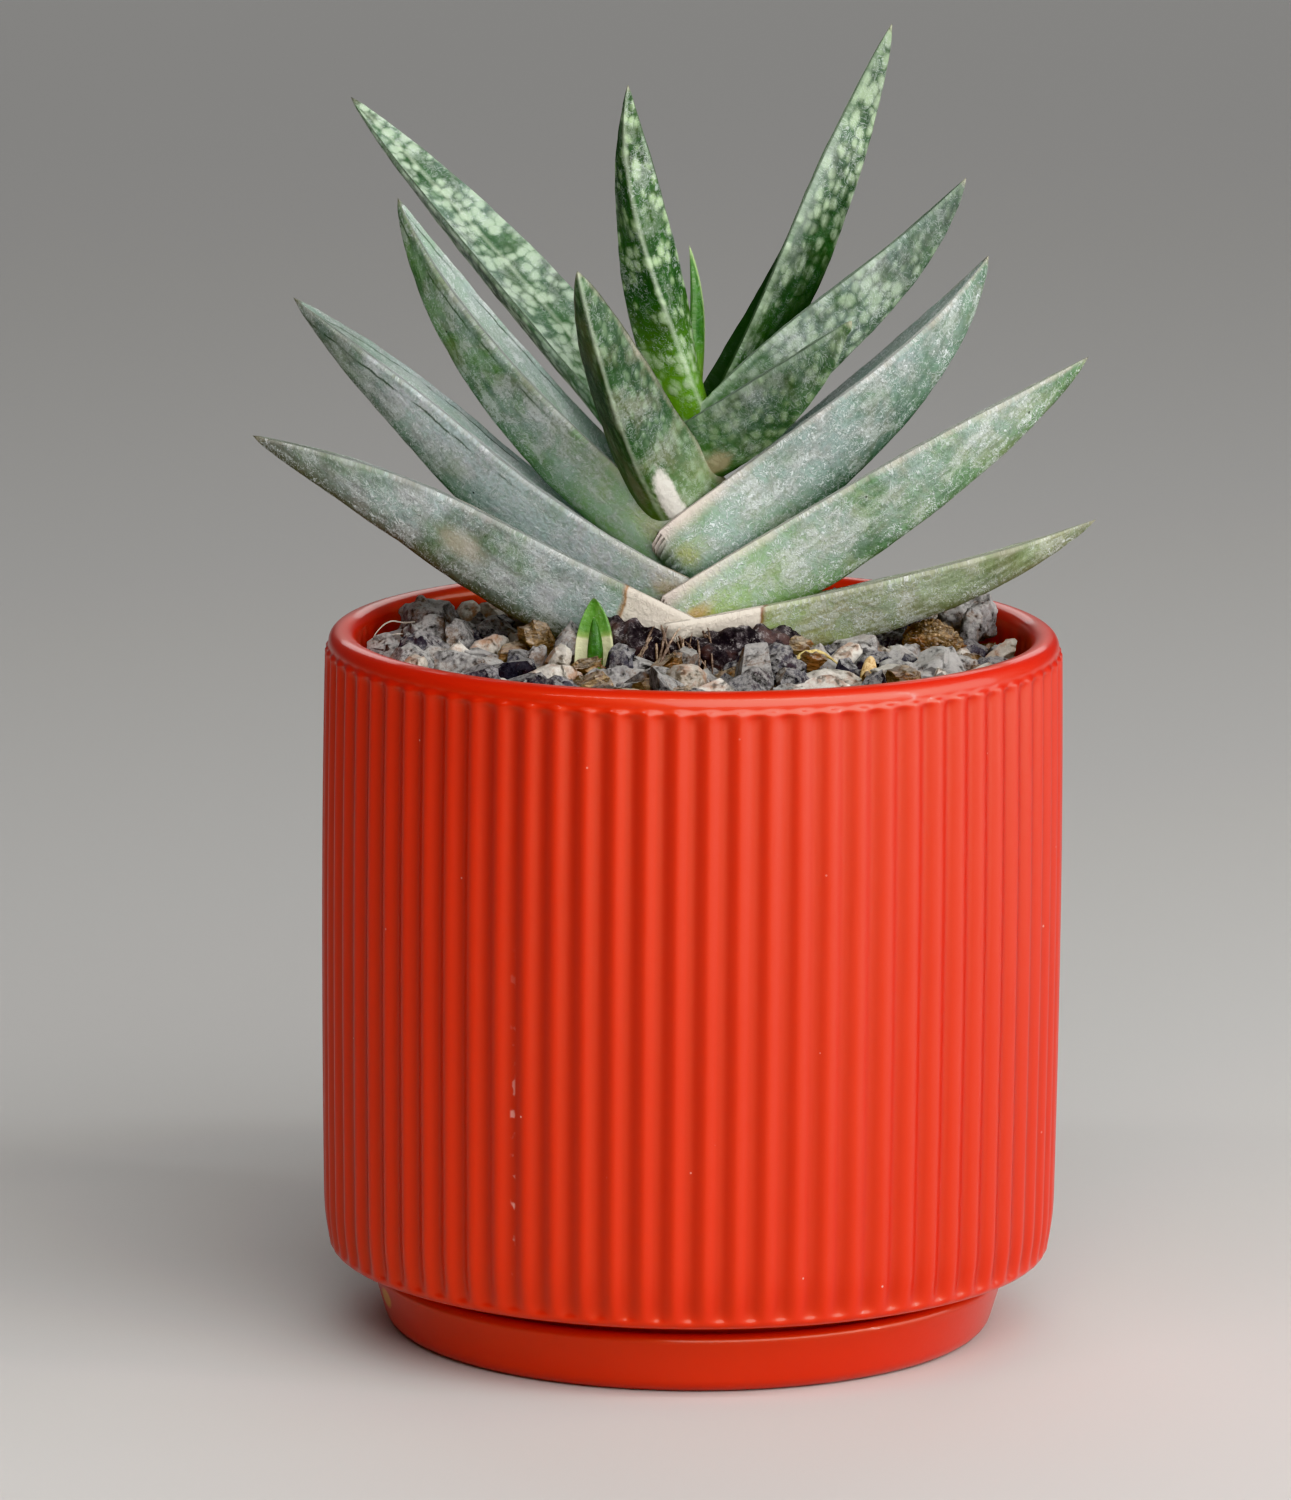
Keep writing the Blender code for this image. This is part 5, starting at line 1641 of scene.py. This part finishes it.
@dataclass
class Studio:
    """A pale floor, soft light from the front right, and the camera."""

    aim: tuple[float, float, float] = (-0.0077, 0.0, 0.0952)
    distance: float = 1.5
    elevation: float = 10.7
    roll: float = 0.45
    lens: float = 221.0
    sensor: float = 36.0
    middle: tuple[float, float, float] = (0.0, 0.0, 0.09)
    floor_size: float = 12.0
    floor_colour: str = "c4c2be"
    floor_tooth: str = "a8a49c"
    room_colour: str = "f2f4f8"
    ambient: float = 0.13

    def add_light(self, name: str, azimuth: float, elevation: float, distance: float,
                  size: tuple[float, float], power: float) -> None:
        """Hang a soft box that faces the pot.

        Args:
            name: the light's name.
            azimuth: degrees from the camera's side, positive to its right.
            elevation: degrees above the floor.
            distance: metres from the pot's middle.
            size: width and height in metres.
            power: in watts.
        """
        light = bpy.data.lights.new(name, "AREA")
        light.shape = "RECTANGLE"
        light.size, light.size_y = size
        light.energy = power
        made = bpy.data.objects.new(name, light)
        turn, lift = math.radians(azimuth), math.radians(elevation)
        out = Vector((math.sin(turn) * math.cos(lift), -math.cos(turn) * math.cos(lift), math.sin(lift)))
        made.location = Vector(self.middle) + out * distance
        made.rotation_euler = out.to_track_quat("Z", "Y").to_euler()
        bpy.context.scene.collection.objects.link(made)

    def build(self) -> None:
        """Set up the floor, the lights and the camera."""
        deselect_everything()
        bpy.ops.mesh.primitive_plane_add(size=self.floor_size)
        floor = bpy.context.object
        floor.name = "floor"
        paint = Finish("pale_backdrop_paper", 0.9)
        place = paint.add("TexCoord", {}, out="Object")
        tooth = paint.add("TexNoise", {"Vector": place, "Scale": 900.0, "Detail": 2.0})
        shade = paint.add("MapRange", [tooth, 0.0, 1.0, 0.0, 0.04])
        floor.data.materials.append(paint.finish(self.floor_colour, [(shade, self.floor_tooth)]))

        world = bpy.data.worlds.new("soft_room")
        world.use_nodes = True
        room = world.node_tree.nodes["Background"]
        room.inputs["Color"].default_value = to_linear(self.room_colour)
        room.inputs["Strength"].default_value = self.ambient
        bpy.context.scene.world = world
        for light in LIGHTS:
            self.add_light(*light)

        lens = bpy.data.cameras.new("camera")
        lens.lens = self.lens
        lens.sensor_width = self.sensor
        camera = bpy.data.objects.new("camera", lens)
        tilt, roll = math.radians(self.elevation), math.radians(self.roll)
        forward = Vector((0.0, math.cos(tilt), -math.sin(tilt)))
        upright = Vector((0.0, math.sin(tilt), math.cos(tilt)))
        right = Vector((1.0, 0.0, 0.0))
        across = right * math.cos(roll) + upright * math.sin(roll)
        upwards = upright * math.cos(roll) - right * math.sin(roll)
        frame_axes = Matrix((across, upwards, -forward)).transposed().to_4x4()
        place = Vector(self.aim) - forward * self.distance
        camera.matrix_world = Matrix.Translation(place) @ frame_axes
        bpy.context.scene.collection.objects.link(camera)
        bpy.context.scene.camera = camera
        bpy.context.scene.view_settings.view_transform = "Khronos PBR Neutral"


def main() -> None:
    """Build every sub-assembly in order."""
    logging.basicConfig(level=logging.INFO, format="%(message)s")
    glaze = RedGlaze().make()
    Saucer().build(glaze)
    Pot().build(glaze)
    Mix().build()
    dead = DeadTissue().make()
    for crust in CRUSTS:
        crust.build(dead)
    Litter().build()
    Plant().build()
    Studio().build()


if __name__ == "__main__":
    main()
